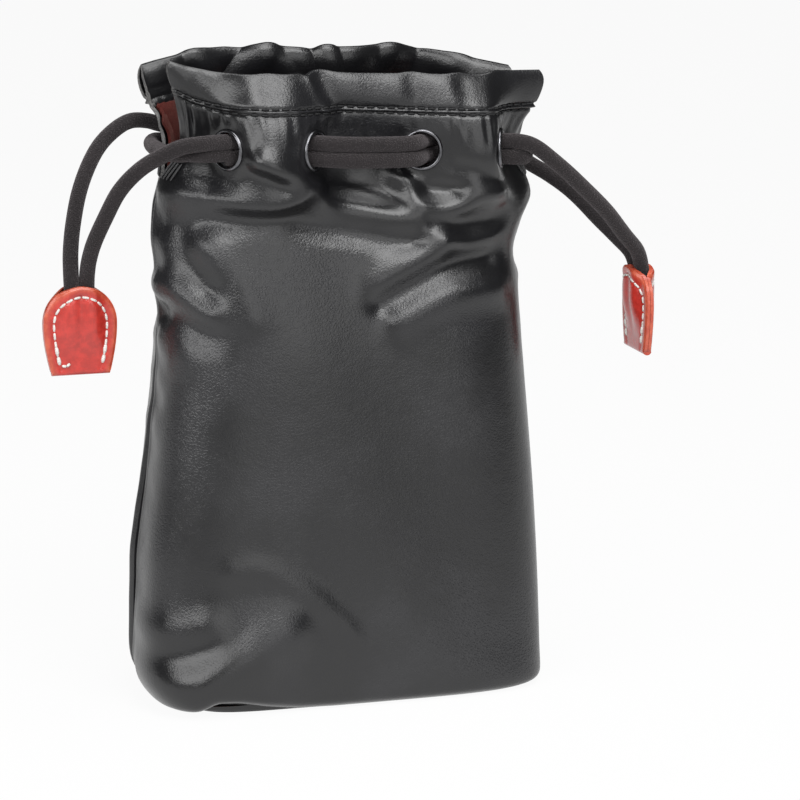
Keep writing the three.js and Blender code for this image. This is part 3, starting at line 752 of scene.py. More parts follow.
def stroke_height(x, z, strokes):
    """Height of the drawn folds at points of the front"""
    total = np.zeros_like(x)
    for height, width, route in strokes:
        curve = spline(route, 14 * len(route)) + width * LIT_SIDE
        low, high = curve.min(axis=0) - 3.0 * width, curve.max(axis=0) + 3.0 * width
        beside = (x > low[0]) & (x < high[0]) & (z > low[1]) & (z < high[1])
        places = np.stack([x[beside], z[beside]], axis=1)
        nearest = np.full(len(places), np.inf)
        for start, end in zip(curve[:-1], curve[1:]):
            run = end - start
            along = np.clip((places - start) @ run / max(run @ run, 1e-12), 0.0, 1.0)
            nearest = np.minimum(nearest, np.linalg.norm(places - start - along[:, None] * run, axis=1))
        total[beside] += height * np.exp(-((nearest / width) ** 2))
    return total


def softened(grid, reach):
    """A grid averaged over a few neighbours along its columns and rows, with its edges kept"""
    offsets = np.arange(-reach, reach + 1)
    weights = np.exp(-2.0 * (offsets / reach) ** 2)
    weights /= weights.sum()
    for axis in (0, 1):
        ends = [(reach, reach) if other == axis else (0, 0) for other in range(grid.ndim)]
        padded = np.pad(grid, ends, mode="reflect", reflect_type="odd")
        places = np.arange(grid.shape[axis]) + reach
        moved = (np.take(padded, places + offset, axis) for offset in offsets)
        grid = sum(weight * neighbour for weight, neighbour in zip(weights, moved))
    return grid


def ripple(along, waves):
    """A sum of waves of (length, height, start)"""
    return sum(height * np.sin(2 * math.pi * (along / length + start)) for length, height, start in waves)


# Waves of the hem, of the leather gathered below it and of the slack walls: length, height and start
HEM_WAVES = ((0.047, 0.0005, 0.1), (0.029, 0.0004, 0.35), (0.0173, 0.0003, 0.6))
GATHER_WAVES = ((0.0042, 0.0004, 0.0), (0.0061, 0.0004, 0.4))
SLACK_WAVES = ((0.083, 0.0007, 0.2), (0.051, 0.0004, 0.7))

# Length of half the girth, and the heights of the surface's rows
WALL_LENGTH = 0.165
SURFACE_HEIGHTS = np.concatenate([
    np.linspace(0.0, BASE_ROLL, 9)[:-1],
    np.linspace(BASE_ROLL, 0.120, 66)[:-1],
    np.linspace(0.120, HEM_STITCH, 116)[:-1],
    np.linspace(HEM_STITCH, RIM_HEIGHT, 44),
])
WALL_HEIGHTS = SURFACE_HEIGHTS[SURFACE_HEIGHTS < HEM_STITCH + 0.0001]


class HalfSurface:
    """The outer surface of the front or back half with all its folds, on a grid of heights and columns"""

    def __init__(self, side, fold_share, pucker, stitch_rows):
        self.sign = 1.0 if side == "front" else -1.0
        rows = []
        shares = []
        steps = np.linspace(0.0, 1.0, COLUMNS + 1)
        for z in SURFACE_HEIGHTS:
            low, high = slit_shares(z)
            row = low + (high - low) * steps
            plan = wall_row(row, z)
            rows.append(np.column_stack([plan, np.full(len(plan), z)]))
            shares.append(row)
        points, hold = eyelet_hold(np.array(rows))
        shares = np.array(shares)
        folds = fold_share * self.folds(points, shares, side)
        points = self.raised(softened(points, SOFT_REACH), softened(folds * (1.0 - hold), SOFT_REACH))
        marks = self.marks(points[..., 0], shares, pucker, stitch_rows)
        points = self.raised(points, marks * (1.0 - hold))
        self.points = self.shifted(points, side)
        self.normals = self.level_at_seams(normals_of(self.points))
        if side == "front":
            self.square_ends(shares)

    def square_ends(self, shares):
        """Turns the front hem's depth straight back at its ends, so that they look cut off square"""
        across = (shares - shares[:, :1]) * WALL_LENGTH
        end = np.minimum(across, across[:, -1:] - across)
        share = 0.85 * (1.0 - smooth(end, 0.0, 0.012)) * smooth(SURFACE_HEIGHTS, 0.172, 0.190)[:, None]
        turned = self.normals * (1.0 - share[..., None]) + np.array([0.0, -1.0, 0.0]) * share[..., None]
        self.normals = turned / np.linalg.norm(turned, axis=-1, keepdims=True)

    def raised(self, points, heights):
        """Points moved out by the heights, and level with the ground at the foot"""
        normals = self.level_at_seams(normals_of(points))
        normals[..., 2] *= smooth(points[..., 2], 0.0, FOOT_HEIGHT)
        return points + normals * heights[..., None]

    def level_at_seams(self, normals):
        """Normals that the two halves share along their seams"""
        sewn = SURFACE_HEIGHTS < ROOT_HEIGHT + 0.0005
        for end in (0, -1):
            normals[sewn, end, 1] = 0.0
        return normals / np.linalg.norm(normals, axis=-1, keepdims=True)

    def places(self, shares, z):
        """How far points lie along the wall and from a seam, and how far they are sewn and on the body"""
        along = shares * WALL_LENGTH
        seam = np.minimum(along, WALL_LENGTH - along)
        sewn = 1.0 - smooth(z, 0.158, ROOT_HEIGHT + 0.002)
        body = smooth(z, 0.004, 0.02) * (1.0 - smooth(z, 0.150, ROOT_HEIGHT))
        return along, seam, sewn, body

    def folds(self, points, shares, side):
        """Height of the drawn folds, the slack of the body and the waves of the hem"""
        x, z = points[..., 0], points[..., 2]
        along, seam, sewn, body = self.places(shares, z)
        folds = stroke_height(self.sign * x, z, FRONT_FOLDS if side == "front" else BACK_FOLDS)
        folds *= 1.0 - sewn * (1.0 - smooth(seam, 0.001, 0.007))
        folds += ripple(x + 0.4 * z, SLACK_WAVES) * body
        hem = smooth(z, HEM_STITCH - 0.002, HEM_STITCH + 0.006)
        ends = smooth(seam - seam[:, :1], 0.002, 0.014) * smooth(seam - seam[:, -1:], 0.002, 0.014)
        return folds + ripple(along, HEM_WAVES) * hem * ends

    def marks(self, x, shares, pucker, stitch_rows):
        """Height of the seams with their puckers, and of the hem's stitching with the pleats below it"""
        z = SURFACE_HEIGHTS[:, None]
        along, seam, sewn, body = self.places(shares, z)
        wave = np.sin(2 * math.pi * z / 0.0143) + 0.6 * np.sin(2 * math.pi * z / 0.0221 + 1.3)
        height_share = 0.2 + 0.8 * smooth(z, 0.075, 0.125)
        marks = pucker * wave * np.exp(-(((seam - 0.007) / 0.0045) ** 2)) * body * height_share
        marks -= 0.0010 * np.exp(-((seam / 0.0008) ** 2)) * sewn
        marks += 0.0003 * np.exp(-(((seam - 0.0022) / 0.0008) ** 2)) * sewn
        crowded = 0.3 + 0.45 * smooth(-self.sign * x, 0.036, 0.047)
        marks += ripple(along, GATHER_WAVES) * crowded * np.exp(-(((z - HEM_STITCH + 0.0045) / 0.005) ** 2))
        for row in (0.0, stitch_rows):
            marks -= 0.0006 * np.exp(-(((z - HEM_STITCH - row) / 0.0006) ** 2))
        return marks + 0.0007 * np.exp(-(((z - HEM_STITCH - stitch_rows / 2) / 0.0006) ** 2))

    def shifted(self, points, side):
        """Rims that rise and fall, sides that swell and a base that lifts, seen from the front"""
        points = points.copy()
        x = self.sign * points[..., 0]
        z = points[..., 2].copy()
        front = side == "front"
        points[..., 2] += table_at(x, FRONT_RIM if front else BACK_RIM, 0.006) * smooth(z, 0.172, 0.198)
        left_swell = table_at(z, LEFT_SWELL, 0.004) * smooth(-x, 0.02, 0.058)
        if not front:
            left_swell *= 1.0 - BACK_DRAW * smooth(-points[..., 1], 0.0, 0.014)
        swell = table_at(z, RIGHT_SWELL, 0.004) * smooth(x, 0.025, 0.058) - left_swell
        left_end = table_at(z, FRONT_LEFT_END if front else BACK_LEFT_END, 0.003)
        right_end = table_at(z, FRONT_RIGHT_END if front else BACK_RIGHT_END, 0.0015)
        at_left = smooth(-x, 0.0495, 0.060)
        at_right = smooth(x, 0.050, 0.066)
        points[..., 0] += self.sign * (swell + left_end * at_left + right_end * at_right)
        points[..., 1] -= END_OPENING * smooth(z, 0.178, 0.200) * np.maximum(at_left, at_right)
        if front:
            points[..., 2] += table_at(x, BASE_LIFT, 0.002) * (1.0 - smooth(z, 0.0, 0.016))
            points[..., 2] += table_at(x, STITCH_RISE, 0.004) * np.exp(-(((z - HEM_STITCH) / 0.009) ** 2))
        turn = np.array([self.sign, self.sign, 1.0])
        return leaned(points * turn) * turn

    def path(self, depths, heights, step=1):
        """Grid of points at each depth and height, in the pouch's frame"""
        place = np.interp(heights, SURFACE_HEIGHTS, np.arange(len(SURFACE_HEIGHTS)))
        low = np.clip(np.floor(place).astype(int), 0, len(SURFACE_HEIGHTS) - 2)
        share = (place - low)[:, None, None]
        points = self.points[low] * (1.0 - share) + self.points[low + 1] * share
        normals = self.normals[low] * (1.0 - share) + self.normals[low + 1] * share
        grid = (points - normals * np.asarray(depths)[:, None, None])[:, ::step]
        return grid * np.array([self.sign, self.sign, 1.0])


@functools.lru_cache(maxsize=None)
def half_surface(side, fold_share, pucker, stitch_rows):
    return HalfSurface(side, fold_share, pucker, stitch_rows)


def surface_of(side, settings):
    return half_surface(side, settings.fold_share, settings.pucker, settings.stitch_rows)


def eyelet_frames(side):
    """Centre and outward normal of each eyelet of a half, from left to right seen from the front"""
    sign = 1.0 if side == "front" else -1.0
    turn = np.array([sign, sign, 1.0])
    frames = [(leaned(centre * turn), normal * turn) for centre, normal in eyelets()]
    return frames if side == "front" else frames[::-1]


def outside_holes(points, faces, side):
    """Which faces lie clear of the eyelets' holes"""
    middle = points.reshape(-1, 3)[faces].mean(axis=1)
    clear = np.ones(len(faces), bool)
    for centre, normal in eyelet_frames(side):
        offset = middle - centre
        along = offset @ normal
        beside = np.linalg.norm(offset - along[:, None] * normal, axis=1)
        clear &= (beside > HOLE_RADIUS) | (np.abs(along) > HOLE_REACH)
    return clear


def sheet_piece(name, outside, inside, side, materials):
    """A sheet between two grids, with its cut edges in the last material and the eyelets' holes open"""
    rows, columns = outside.shape[:2]
    points = np.concatenate([outside.reshape(-1, 3), inside.reshape(-1, 3)])
    outer = np.arange(rows * columns).reshape(rows, columns)
    inner = outer + rows * columns
    skin = np.concatenate([grid_faces(outer), grid_faces(inner)[:, ::-1]])
    rim = np.concatenate([
        strip_faces(inner[0], outer[0]),
        strip_faces(outer[-1], inner[-1]),
        strip_faces(outer[:, 0], inner[:, 0])[:, ::-1],
        strip_faces(outer[:, -1], inner[:, -1]),
    ])
    faces = np.concatenate([skin, rim])
    clear = outside_holes(points, faces, side)
    cut = points[rim].mean(axis=1)[:, 2] > ROOT_HEIGHT
    indices = np.concatenate([np.zeros(len(skin), int), np.where(cut, len(materials) - 1, 0)])
    return piece(name, points, faces[clear].tolist(), materials, indices[clear], SHARP_ANGLE)


def hinge_blend(made):
    """Bakes a piece's place into its mesh, without bending it round the flap's root"""
    low, high = (ROOT_HEIGHT + offset for offset in ROOT_BEND)
    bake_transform(made)


# Cords

def strand_points(side):
    """One strand of the pair in the front flap: they lie one over the other, and turn where they twist"""
    middle = np.array([(x, y, EYELET_HEIGHT) for x, y, twist in PAIR_ROUTE])
    points = []
    for i, (x, y, degrees) in enumerate(PAIR_ROUTE):
        run = middle[min(i + 1, len(middle) - 1)] - middle[max(i - 1, 0)]
        run = run / np.linalg.norm(run)
        twist = math.radians(degrees)
        spread = side * STRAND_OFFSET * (1.0 + TWIST_SPREAD * math.sin(twist) ** 2)
        across = np.array([-run[1] * math.sin(twist), run[0] * math.sin(twist), math.cos(twist)])
        points.append(middle[i] + spread * across)
    return np.array(points)


def wrap_points():
    """The wrap round the right side, from inside the front's last eyelet into the back's first"""
    first, last = GATHERS[EYELET_POINTS[-1]], GATHERS[EYELET_POINTS[0]]
    plan = np.array([first, *RIGHT_WRAP, (-last[0], -last[1])])
    at_end = smooth(plan[:, 1], 0.012, 0.022)
    x = plan[:, 0] - WRAP_INSET * smooth(plan[:, 0], 0.052, 0.059)
    rise = WRAP_RISE * at_end
    return np.column_stack([x, plan[:, 1] - rise, EYELET_HEIGHT - STRAND_OFFSET + rise])


def tail_points(route):
    """A tail from inside the eyelet nearest to its first point"""
    corners = [centre for side in ("front", "back") for centre, normal in eyelet_frames(side)]
    nearest = min(corners, key=lambda centre: math.dist(centre[:2], route[0][:2]))
    return np.array([(nearest[0], nearest[1], route[0][2]), *route])


def even_steps(points):
    """The curve through the points, cut into a cord's even steps"""
    dense = spline(points, 40 * len(points))
    lengths = step_lengths(dense)
    count = max(int(round(lengths[-1] / CORD_STEP)), 4)
    wanted = np.linspace(0.0, lengths[-1], count + 1)
    return np.stack([np.interp(wanted, lengths, dense[:, axis]) for axis in range(3)], axis=1)


def cord_tube(name, centres, material):
    """A cord along its centres, rounded off at both ends"""
    tangents = np.gradient(centres, axis=0)
    tangents /= np.linalg.norm(tangents, axis=1, keepdims=True)
    first = np.cross(tangents[0], (0.0, 0.0, 1.0))
    if np.linalg.norm(first) < 0.1:
        first = np.cross(tangents[0], (0.0, 1.0, 0.0))
    angles = np.linspace(0.0, 2 * math.pi, CORD_SIDES, endpoint=False)[:, None]
    rings = []
    side = first
    for centre, tangent in zip(centres, tangents):
        side = side - tangent * (side @ tangent)
        side = side / np.linalg.norm(side)
        other = np.cross(tangent, side)
        rings.append(centre + CORD_RADIUS * (np.cos(angles) * side + np.sin(angles) * other))
    first_ring, last_ring = rings[0] - centres[0], rings[-1] - centres[-1]
    for share in (0.7, 0.25):
        bulge = 0.35 * CORD_RADIUS * (1.0 - share ** 2)
        rings.insert(0, centres[0] - tangents[0] * bulge + share * first_ring)
        rings.append(centres[-1] + tangents[-1] * bulge + share * last_ring)
    return piece(name, np.concatenate(rings), tube_faces(len(rings), CORD_SIDES), [material])


# Stitches

def stitches(name, places, material):
    """Short rounded threads, each given by its middle, run, outward normal, length and radius"""
    around = np.linspace(0.0, 2 * math.pi, THREAD_SIDES, endpoint=False)
    shape = ((-0.5, 0.35), (-0.42, 0.8), (-0.15, 1.0), (0.15, 1.0), (0.42, 0.8), (0.5, 0.35))
    points = []
    faces = []
    for middle, run, normal, length, radius in places:
        across = np.cross(normal, run)
        across = across / np.linalg.norm(across)
        faces.extend(tube_faces(len(shape), THREAD_SIDES, len(points)))
        for place, swell in shape:
            centre = middle + run * (place * length) + normal * radius * (0.55 * swell - 0.25)
            for angle in around:
                offset = across * math.cos(angle) + normal * math.sin(angle)
                points.append(centre + offset * radius * swell)
    return piece(name, points, faces, [material])


def stitch_row(route, normals, length, gap, radius):
    """Places of stitches along a route"""
    lengths = step_lengths(route)
    count = int(lengths[-1] / (length + gap))
    places = []
    for i in range(count):
        at = (i + 0.5) * lengths[-1] / count
        ends = [
            np.array([np.interp(at + half * length / 2, lengths, route[:, axis]) for axis in range(3)])
            for half in (-1, 1)
        ]
        normal = np.array([np.interp(at, lengths, normals[:, axis]) for axis in range(3)])
        run = ends[1] - ends[0]
        size = np.linalg.norm(run)
        places.append(((ends[0] + ends[1]) / 2, run / size, normal / np.linalg.norm(normal), length, radius))
    return places


# Tabs

# A tab's height, half its widest width and half its fold, where its arch springs, and its leather
TAB_HEIGHT = 0.0285
TAB_HALF = 0.01175
TAB_FOLD_HALF = 0.00925
TAB_SPRING = 0.0165
TAB_LEATHER = 0.00135
TAB_CLOSED = 0.0015
TAB_LEAST_GAP = 0.00006
TAB_FOLD_SHARE = 0.05
TAB_STITCH_INSET = 0.0033
TAB_ROWS = 44
TAB_COLUMNS = 40
LEFT_TAB_FOOT = (-0.0845, 0.0, 0.106)
RIGHT_TAB_FOOT = (0.1015, 0.0, 0.103)
TAB_TOPS = {"left": LEFT_TAB_FOOT[2] + TAB_HEIGHT, "right": RIGHT_TAB_FOOT[2] + TAB_HEIGHT}


def tab_half_width(height):
    """Half the tab's width at a height over its fold"""
    lower = TAB_FOLD_HALF + (TAB_HALF - TAB_FOLD_HALF) * np.sin(
        0.5 * math.pi * np.clip(height / TAB_SPRING, 0.0, 1.0)
    )
    arch = np.clip((height - TAB_SPRING) / (TAB_HEIGHT - TAB_SPRING), 0.0, 1.0)
    return np.where(height < TAB_SPRING, lower, TAB_HALF * np.sqrt(1.0 - arch ** 2))


def tab_edge_distance(x, height):
    """Distance from a point of the tab to its outline, away from the fold"""
    angle = np.linspace(0.0, 0.5 * math.pi, 40)
    rise = TAB_HEIGHT - TAB_SPRING
    arch = np.stack([TAB_HALF * np.cos(angle), TAB_SPRING + rise * np.sin(angle)], axis=1)
    heights = np.linspace(0.0, TAB_SPRING, 30)
    sides = np.stack([tab_half_width(heights), heights], axis=1)
    outline = np.concatenate([sides, arch])
    away = np.hypot(np.abs(x)[..., None] - outline[:, 0], height[..., None] - outline[:, 1])
    return away.min(axis=-1)


def tab_depth(x, height, spread):
    """Half the tab's thickness: closed at its foot, swollen over the two cord ends"""
    across = 1.0 - smooth(np.abs(x), 0.0036, 0.0088)
    edge = tab_edge_distance(x, height)
    valley = 0.0009 * np.exp(-((x / 0.0015) ** 2)) * smooth(edge, 0.0012, 0.0050)
    rise = smooth(height, 0.004, 0.019)
    swell = (spread - valley) * across * rise
    groove = 0.0004 * np.exp(-(((edge - TAB_STITCH_INSET) / 0.0007) ** 2))
    lip = 0.0005 * (1.0 - smooth(edge, 0.0, 0.0009))
    return TAB_CLOSED + swell - groove - lip


def tab_leaf(side, heights, steps, leather, spread):
    """Rows of one leaf of a tab, as deep in its leather as given"""
    rows = []
    for height in heights:
        x = tab_half_width(np.array(height)) * steps
        level = np.full_like(x, height)
        depth = np.maximum(tab_depth(x, level, spread) - leather, TAB_LEAST_GAP)
        rows.append(np.stack([x, side * depth, level], axis=1))
    return rows


def tab_fold(steps, leather):
    """Rows round a tab's fold, from one leaf to the other"""
    x = TAB_FOLD_HALF * steps
    radius = max(TAB_CLOSED - leather, TAB_LEAST_GAP)
    drop = TAB_FOLD_SHARE * TAB_HEIGHT
    rows = []
    for angle in np.linspace(0.0, math.pi, 9)[1:-1]:
        y = -radius * math.cos(angle)
        z = drop - (drop - leather) * math.sin(angle)
        rows.append(np.stack([x, np.full_like(x, y), np.full_like(x, z)], axis=1))
    return rows


def tab_layer(leather, spread):
    """A grid down one leaf of a tab, round its fold and up the other leaf"""
    rise = np.sin(0.5 * math.pi * np.linspace(0.0, 1.0, TAB_ROWS + 1))
    heights = TAB_HEIGHT * (TAB_FOLD_SHARE + (1.0 - TAB_FOLD_SHARE) * rise) * 0.9995
    steps = np.sin(0.5 * math.pi * np.linspace(-1.0, 1.0, TAB_COLUMNS + 1))
    down = tab_leaf(-1.0, heights[::-1], steps, leather, spread)
    up = tab_leaf(1.0, heights, steps, leather, spread)
    return np.array([*down, *tab_fold(steps, leather), *up])


def tab_mesh(name, foot, turn, spread, settings):
    """One strip of leather folded at its foot: the two leaves as one sheet of even thickness"""
    outside, inside = (tab_layer(leather, spread) for leather in (0.0, TAB_LEATHER))
    row_count, column_count = outside.shape[:2]
    points = np.concatenate([outside.reshape(-1, 3), inside.reshape(-1, 3)])
    edge = tab_edge_distance(points[:, 0], points[:, 2])
    outer = np.arange(row_count * column_count).reshape(row_count, column_count)
    inner = outer + row_count * column_count
    faces = np.concatenate([
        grid_faces(outer)[:, ::-1],
        grid_faces(inner),
        strip_faces(outer[0], inner[0]),
        strip_faces(inner[-1], outer[-1]),
        strip_faces(inner[:, 0], outer[:, 0]),
        strip_faces(outer[:, -1], inner[:, -1]),
    ])
    rotation = np.array(Matrix.Rotation(turn, 3, "Z"))
    placed = points @ rotation.T + np.array(foot)
    material = material_of("polished_leather", red_leather, settings)
    made = piece(name, placed, faces.tolist(), [material], sharp=TAB_SHARP_ANGLE)
    burnish = 1.0 - smooth(edge, 0.0004, 0.0024)
    burnish[row_count * column_count:] = 1.0
    attribute = made.data.attributes.new("edge", "FLOAT", "POINT")
    attribute.data.foreach_set("value", burnish.astype(np.float32))
    return made


def tab_stitches(name, foot, turn, spread, settings):
    """White stitches in an upturned U on both leaves, doubled at the ends of the U"""
    inset = TAB_STITCH_INSET
    angle = np.linspace(0.0, math.pi, 60)
    rise = TAB_HEIGHT - TAB_SPRING - inset
    arch = np.stack([-(TAB_HALF - inset) * np.cos(angle), TAB_SPRING + rise * np.sin(angle)], axis=1)
    low = np.linspace(0.0034, TAB_SPRING, 24)[:-1]
    leg = np.stack([-(tab_half_width(low) - inset), low], axis=1)
    right = leg[::-1] * np.array([-1.0, 1.0])
    flat = np.concatenate([leg, arch, right])
    rotation = np.array(Matrix.Rotation(turn, 3, "Z"))
    places = []
    for side in (-1.0, 1.0):
        depth = tab_depth(flat[:, 0], flat[:, 1], spread)
        route = np.stack([flat[:, 0], side * depth, flat[:, 1]], axis=1) @ rotation.T + np.array(foot)
        normals = np.tile(rotation @ np.array([0.0, side, 0.0]), (len(route), 1))
        places.extend(stitch_row(route, normals, 0.0023, 0.0004, TAB_THREAD))
        for end in (route[:12], route[-12:]):
            places.extend(stitch_row(end, normals[:12], 0.0027, 0.0002, 0.00062))
    hook = [(x, -TAB_CLOSED, z) for x, z in ((-0.0062, 0.0034), (-0.0048, 0.0031), (-0.0036, 0.0040))]
    hook_route = spline(hook, 8) @ rotation.T + np.array(foot)
    facing = np.tile(rotation @ np.array([0.0, -1.0, 0.0]), (len(hook_route), 1))
    places.extend(stitch_row(hook_route, facing, 0.0014, 0.0, 0.00045))
    return stitches(name, places, material_of("white_thread", thread, "white_thread", settings.thread_colour))


# Stage

# Camera: its place, its turns in degrees, and its lens and sensor in millimetres
CAMERA_PLACE = (-0.340, -1.182, 0.354)
CAMERA_PITCH = 78.0
CAMERA_YAW = -16.95
CAMERA_LENS = 176.5
SENSOR = 36.0

# Softboxes: name, place, what they are turned to, width and height, and power
SOFTBOXES = (
    ("left_softbox", (-0.965, -0.868, 0.645), (0.0, 0.0, 0.12), (1.40, 0.65), 11.0),
    ("top_softbox", (0.10, -0.80, 1.02), (0.0, 0.0, 0.14), (0.85, 0.60), 9.6),
    ("over_softbox", (0.10, -0.15, 1.25), (0.0, 0.0, 0.15), (0.90, 0.60), 6.8),
    ("front_softbox", (0.20, -1.45, 0.40), (0.0, 0.0, 0.20), (0.90, 0.78), 3.6),
)
WORLD_LEVEL = 0.08

# The floor is white round the pouch and goes greyer towards the viewer, between two places in y; that grey is
# painted shade, which the glossy leather reflects as unlit surroundings
FLOOR_SIZE = 12.0
FLOOR_WHITE = 0.94
FLOOR_SHADE_FADE = (-0.36, -0.14)
FLOOR_SHADED_WHITE = 0.22
FLOOR_SHADE_GREYS = (0.40, 0.82)


def seen_white(shade):
    """1 for rays from the camera, a mirror or glass, which see a white background, and 0 for light"""
    path = shade.node("ShaderNodeLightPath")
    outputs = path.output.node.outputs
    camera, glossy, glass = (
        Shade(shade.tree, outputs[f"Is {kind} Ray"]) for kind in ("Camera", "Glossy", "Transmission")
    )
    return shade.maths("MINIMUM", camera + glossy + glass, 1.0)


class LENSPOUCH_OT_stage(bpy.types.Operator):
    """Sets the camera, the studio light and the pale floor"""

    bl_idname = "lenspouch.stage"
    bl_label = "Stage"

    def execute(self, context):
        scene = context.scene
        scene.view_settings.view_transform = "Standard"
        data = bpy.data.cameras.new("camera")
        data.lens = CAMERA_LENS
        data.sensor_width = SENSOR
        camera = bpy.data.objects.new("camera", data)
        camera.location = CAMERA_PLACE
        camera.rotation_euler = (math.radians(CAMERA_PITCH), 0.0, math.radians(CAMERA_YAW))
        scene.collection.objects.link(camera)
        scene.camera = camera
        for name, place, aim, (width, height), power in SOFTBOXES:
            light = bpy.data.lights.new(name, "AREA")
            light.shape = "RECTANGLE"
            light.size = width
            light.size_y = height
            light.energy = power
            lamp = bpy.data.objects.new(name, light)
            lamp.location = place
            lamp.rotation_euler = (Vector(aim) - Vector(place)).to_track_quat("-Z", "Y").to_euler()
            scene.collection.objects.link(lamp)
        self.world(scene)
        self.floor(scene)
        return {"FINISHED"}

    def world(self, scene):
        world = bpy.data.worlds.new("studio")
        world.use_nodes = True
        scene.world = world
        background = world.node_tree.nodes["Background"]
        background.inputs["Color"].default_value = (1.0, 1.0, 1.0, 1.0)
        background.inputs["Strength"].default_value = WORLD_LEVEL

    def floor(self, scene):
        half = FLOOR_SIZE / 2
        corners = [(-half, -half, 0.0), (half, -half, 0.0), (half, half, 0.0), (-half, half, 0.0)]
        material, shade, shader = new_material("pale_floor")
        depth = shade.node("ShaderNodeSeparateXYZ", None, {"Vector": position(shade)}, "Y")
        # Painted shade: towards the viewer the floor turns grey and shows less of its white
        pale = depth.between(*FLOOR_SHADE_FADE)
        colour = pale.mix(*(opaque((grey, grey, grey)) for grey in FLOOR_SHADE_GREYS))
        feed(shade, shader, Base_Color=colour, Roughness=0.9)
        white = shade.node("ShaderNodeEmission", None, {"Color": (1.0, 1.0, 1.0, 1.0), "Strength": 1.0})
        lit = Shade(material.node_tree, shader.outputs[0])
        share = FLOOR_WHITE * (FLOOR_SHADED_WHITE + (1.0 - FLOOR_SHADED_WHITE) * pale) * seen_white(shade)
        mixed = shade.node("ShaderNodeMixShader", None, {0: share, 1: lit, 2: white})
        output = material.node_tree.nodes["Material Output"]
        material.node_tree.links.new(mixed.output, output.inputs["Surface"])
        piece("floor", corners, [[0, 1, 2, 3]], [material])


class LENSPOUCH_OT_cords(bpy.types.Operator):
    """Lays the two drawcords: their runs through the flaps, their wraps round the sides and their tails"""

    bl_idname = "lenspouch.cords"
    bl_label = "Cords"

    def execute(self, context):
        material = material_of("woven_cord", woven_cord, context.scene.lens_pouch)
        for side in ("front", "back"):
            sign = 1.0 if side == "front" else -1.0
            turn = np.array([sign, sign, 1.0])
            upper, lower = ("left", "right") if side == "front" else ("right", "left")
            for cord, strand in ((upper, 1), (lower, -1)):
                route = leaned(even_steps(strand_points(strand)[1:-1] * turn))
                run = cord_tube(f"{cord}_cord_through_{side}", route, material)
                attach(run, f"{side}_flap")
                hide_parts(f"{cord}_cord_{side}_run")
            self.wrap(upper, leaned(even_steps(wrap_points() * turn)), material)
        for cord, side, route in (
            ("left", "front", LEFT_FRONT_TAIL), ("left", "back", LEFT_BACK_TAIL),
            ("right", "front", RIGHT_FRONT_TAIL), ("right", "back", RIGHT_BACK_TAIL),
        ):
            self.tail(cord, side, leaned(even_steps(tail_points(route))), material)
        return {"FINISHED"}

    def wrap(self, cord, route, material):
        """A cord's wrap in two halves, one on the front's side and one on the back's"""
        middle = int(np.argmin(np.abs(route[:, 1])))
        first, second = route[:middle + 3], route[middle - 2:]
        made = []
        for half in (first, second):
            side, sign = ("front", -1.0) if half[:, 1].mean() < 0.0 else ("back", 1.0)
            made.append(cord_tube(f"{cord}_cord_round_{side}", half, material))
            near, far = (sign * place for place in WRAP_BEND)
            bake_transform(made[-1])
        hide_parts(f"{cord}_cord_wrap")

    def tail(self, cord, side, route, material):
        """A cord's tail: a strand that hangs from its eyelet, and its end in the tab"""
        top = TAB_TOPS[cord]
        split = int(np.argmax(route[:, 2] < top + TAIL_SPLIT))
        hanging, held = route[:split + 2], route[split:]
        made = cord_tube(f"{cord}_cord_{side}_tail_strand", hanging, material)
        start, end = route[4][0], route[-1][0]
        0.25 * start + 0.75 * end
        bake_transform(made)
        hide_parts(f"{cord}_cord_{side}_tail")
        in_tab = cord_tube(f"{cord}_cord_{side}_end", held, material)
        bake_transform(in_tab)


class LENSPOUCH_OT_leather(bpy.types.Operator):
    """Makes the front and back leather with their folds, slits and folded hems, and the base"""

    bl_idname = "lenspouch.leather"
    bl_label = "Leather"

    def execute(self, context):
        settings = context.scene.lens_pouch
        materials = [
            material_of("glossy_leather", black_leather, settings),
            material_of("raw_leather_edge", raw_edge),
        ]
        outline = []
        for side in ("front", "back"):
            surface = surface_of(side, settings)
            outer = self.wall(surface, 0.0, HEM_OUTSIDE)
            inner = self.wall(surface, settings.leather, HEM_INSIDE)
            made = sheet_piece(f"{side}_leather", outer, inner, side, materials)
            hinge_blend(made)
            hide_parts(f"{side}_panel", f"{side}_flap")
            outline.append(outer[0])
        self.base(np.concatenate([outline[0][:-1], outline[1][:-1]]), materials)
        return {"FINISHED"}

    def wall(self, surface, depth, section):
        """A grid up the wall at one depth, and on round the hem's section"""
        hem = spline(section, HEM_ROWS + 1)[1:]
        depths = np.concatenate([np.full(len(WALL_HEIGHTS), depth), hem[:, 0]])
        heights = np.concatenate([WALL_HEIGHTS, HEM_STITCH + hem[:, 1] * HEM_HEIGHT])
        return surface.path(depths, heights)

    def base(self, outline, materials):
        """The base, whose edge follows the lifted lip of the front"""
        rings = [
            np.column_stack([outline[:, :2] * share, outline[:, 2] * lift + height])
            for share, lift, height in BASE_RINGS
        ]
        made = disc_piece("base_leather", rings, materials[:1])
        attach(made, "pouch")
        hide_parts("base_panel")


def disc_piece(name, rings, materials):
    """A disc from rings that run from its edge to its middle, facing down"""
    numbers, looped = ring_numbers(len(rings), len(rings[0]))
    faces = [*grid_faces(looped)[:, ::-1].tolist(), numbers[-1][::-1].tolist()]
    return piece(name, np.concatenate(rings), faces, materials, rounded=False)


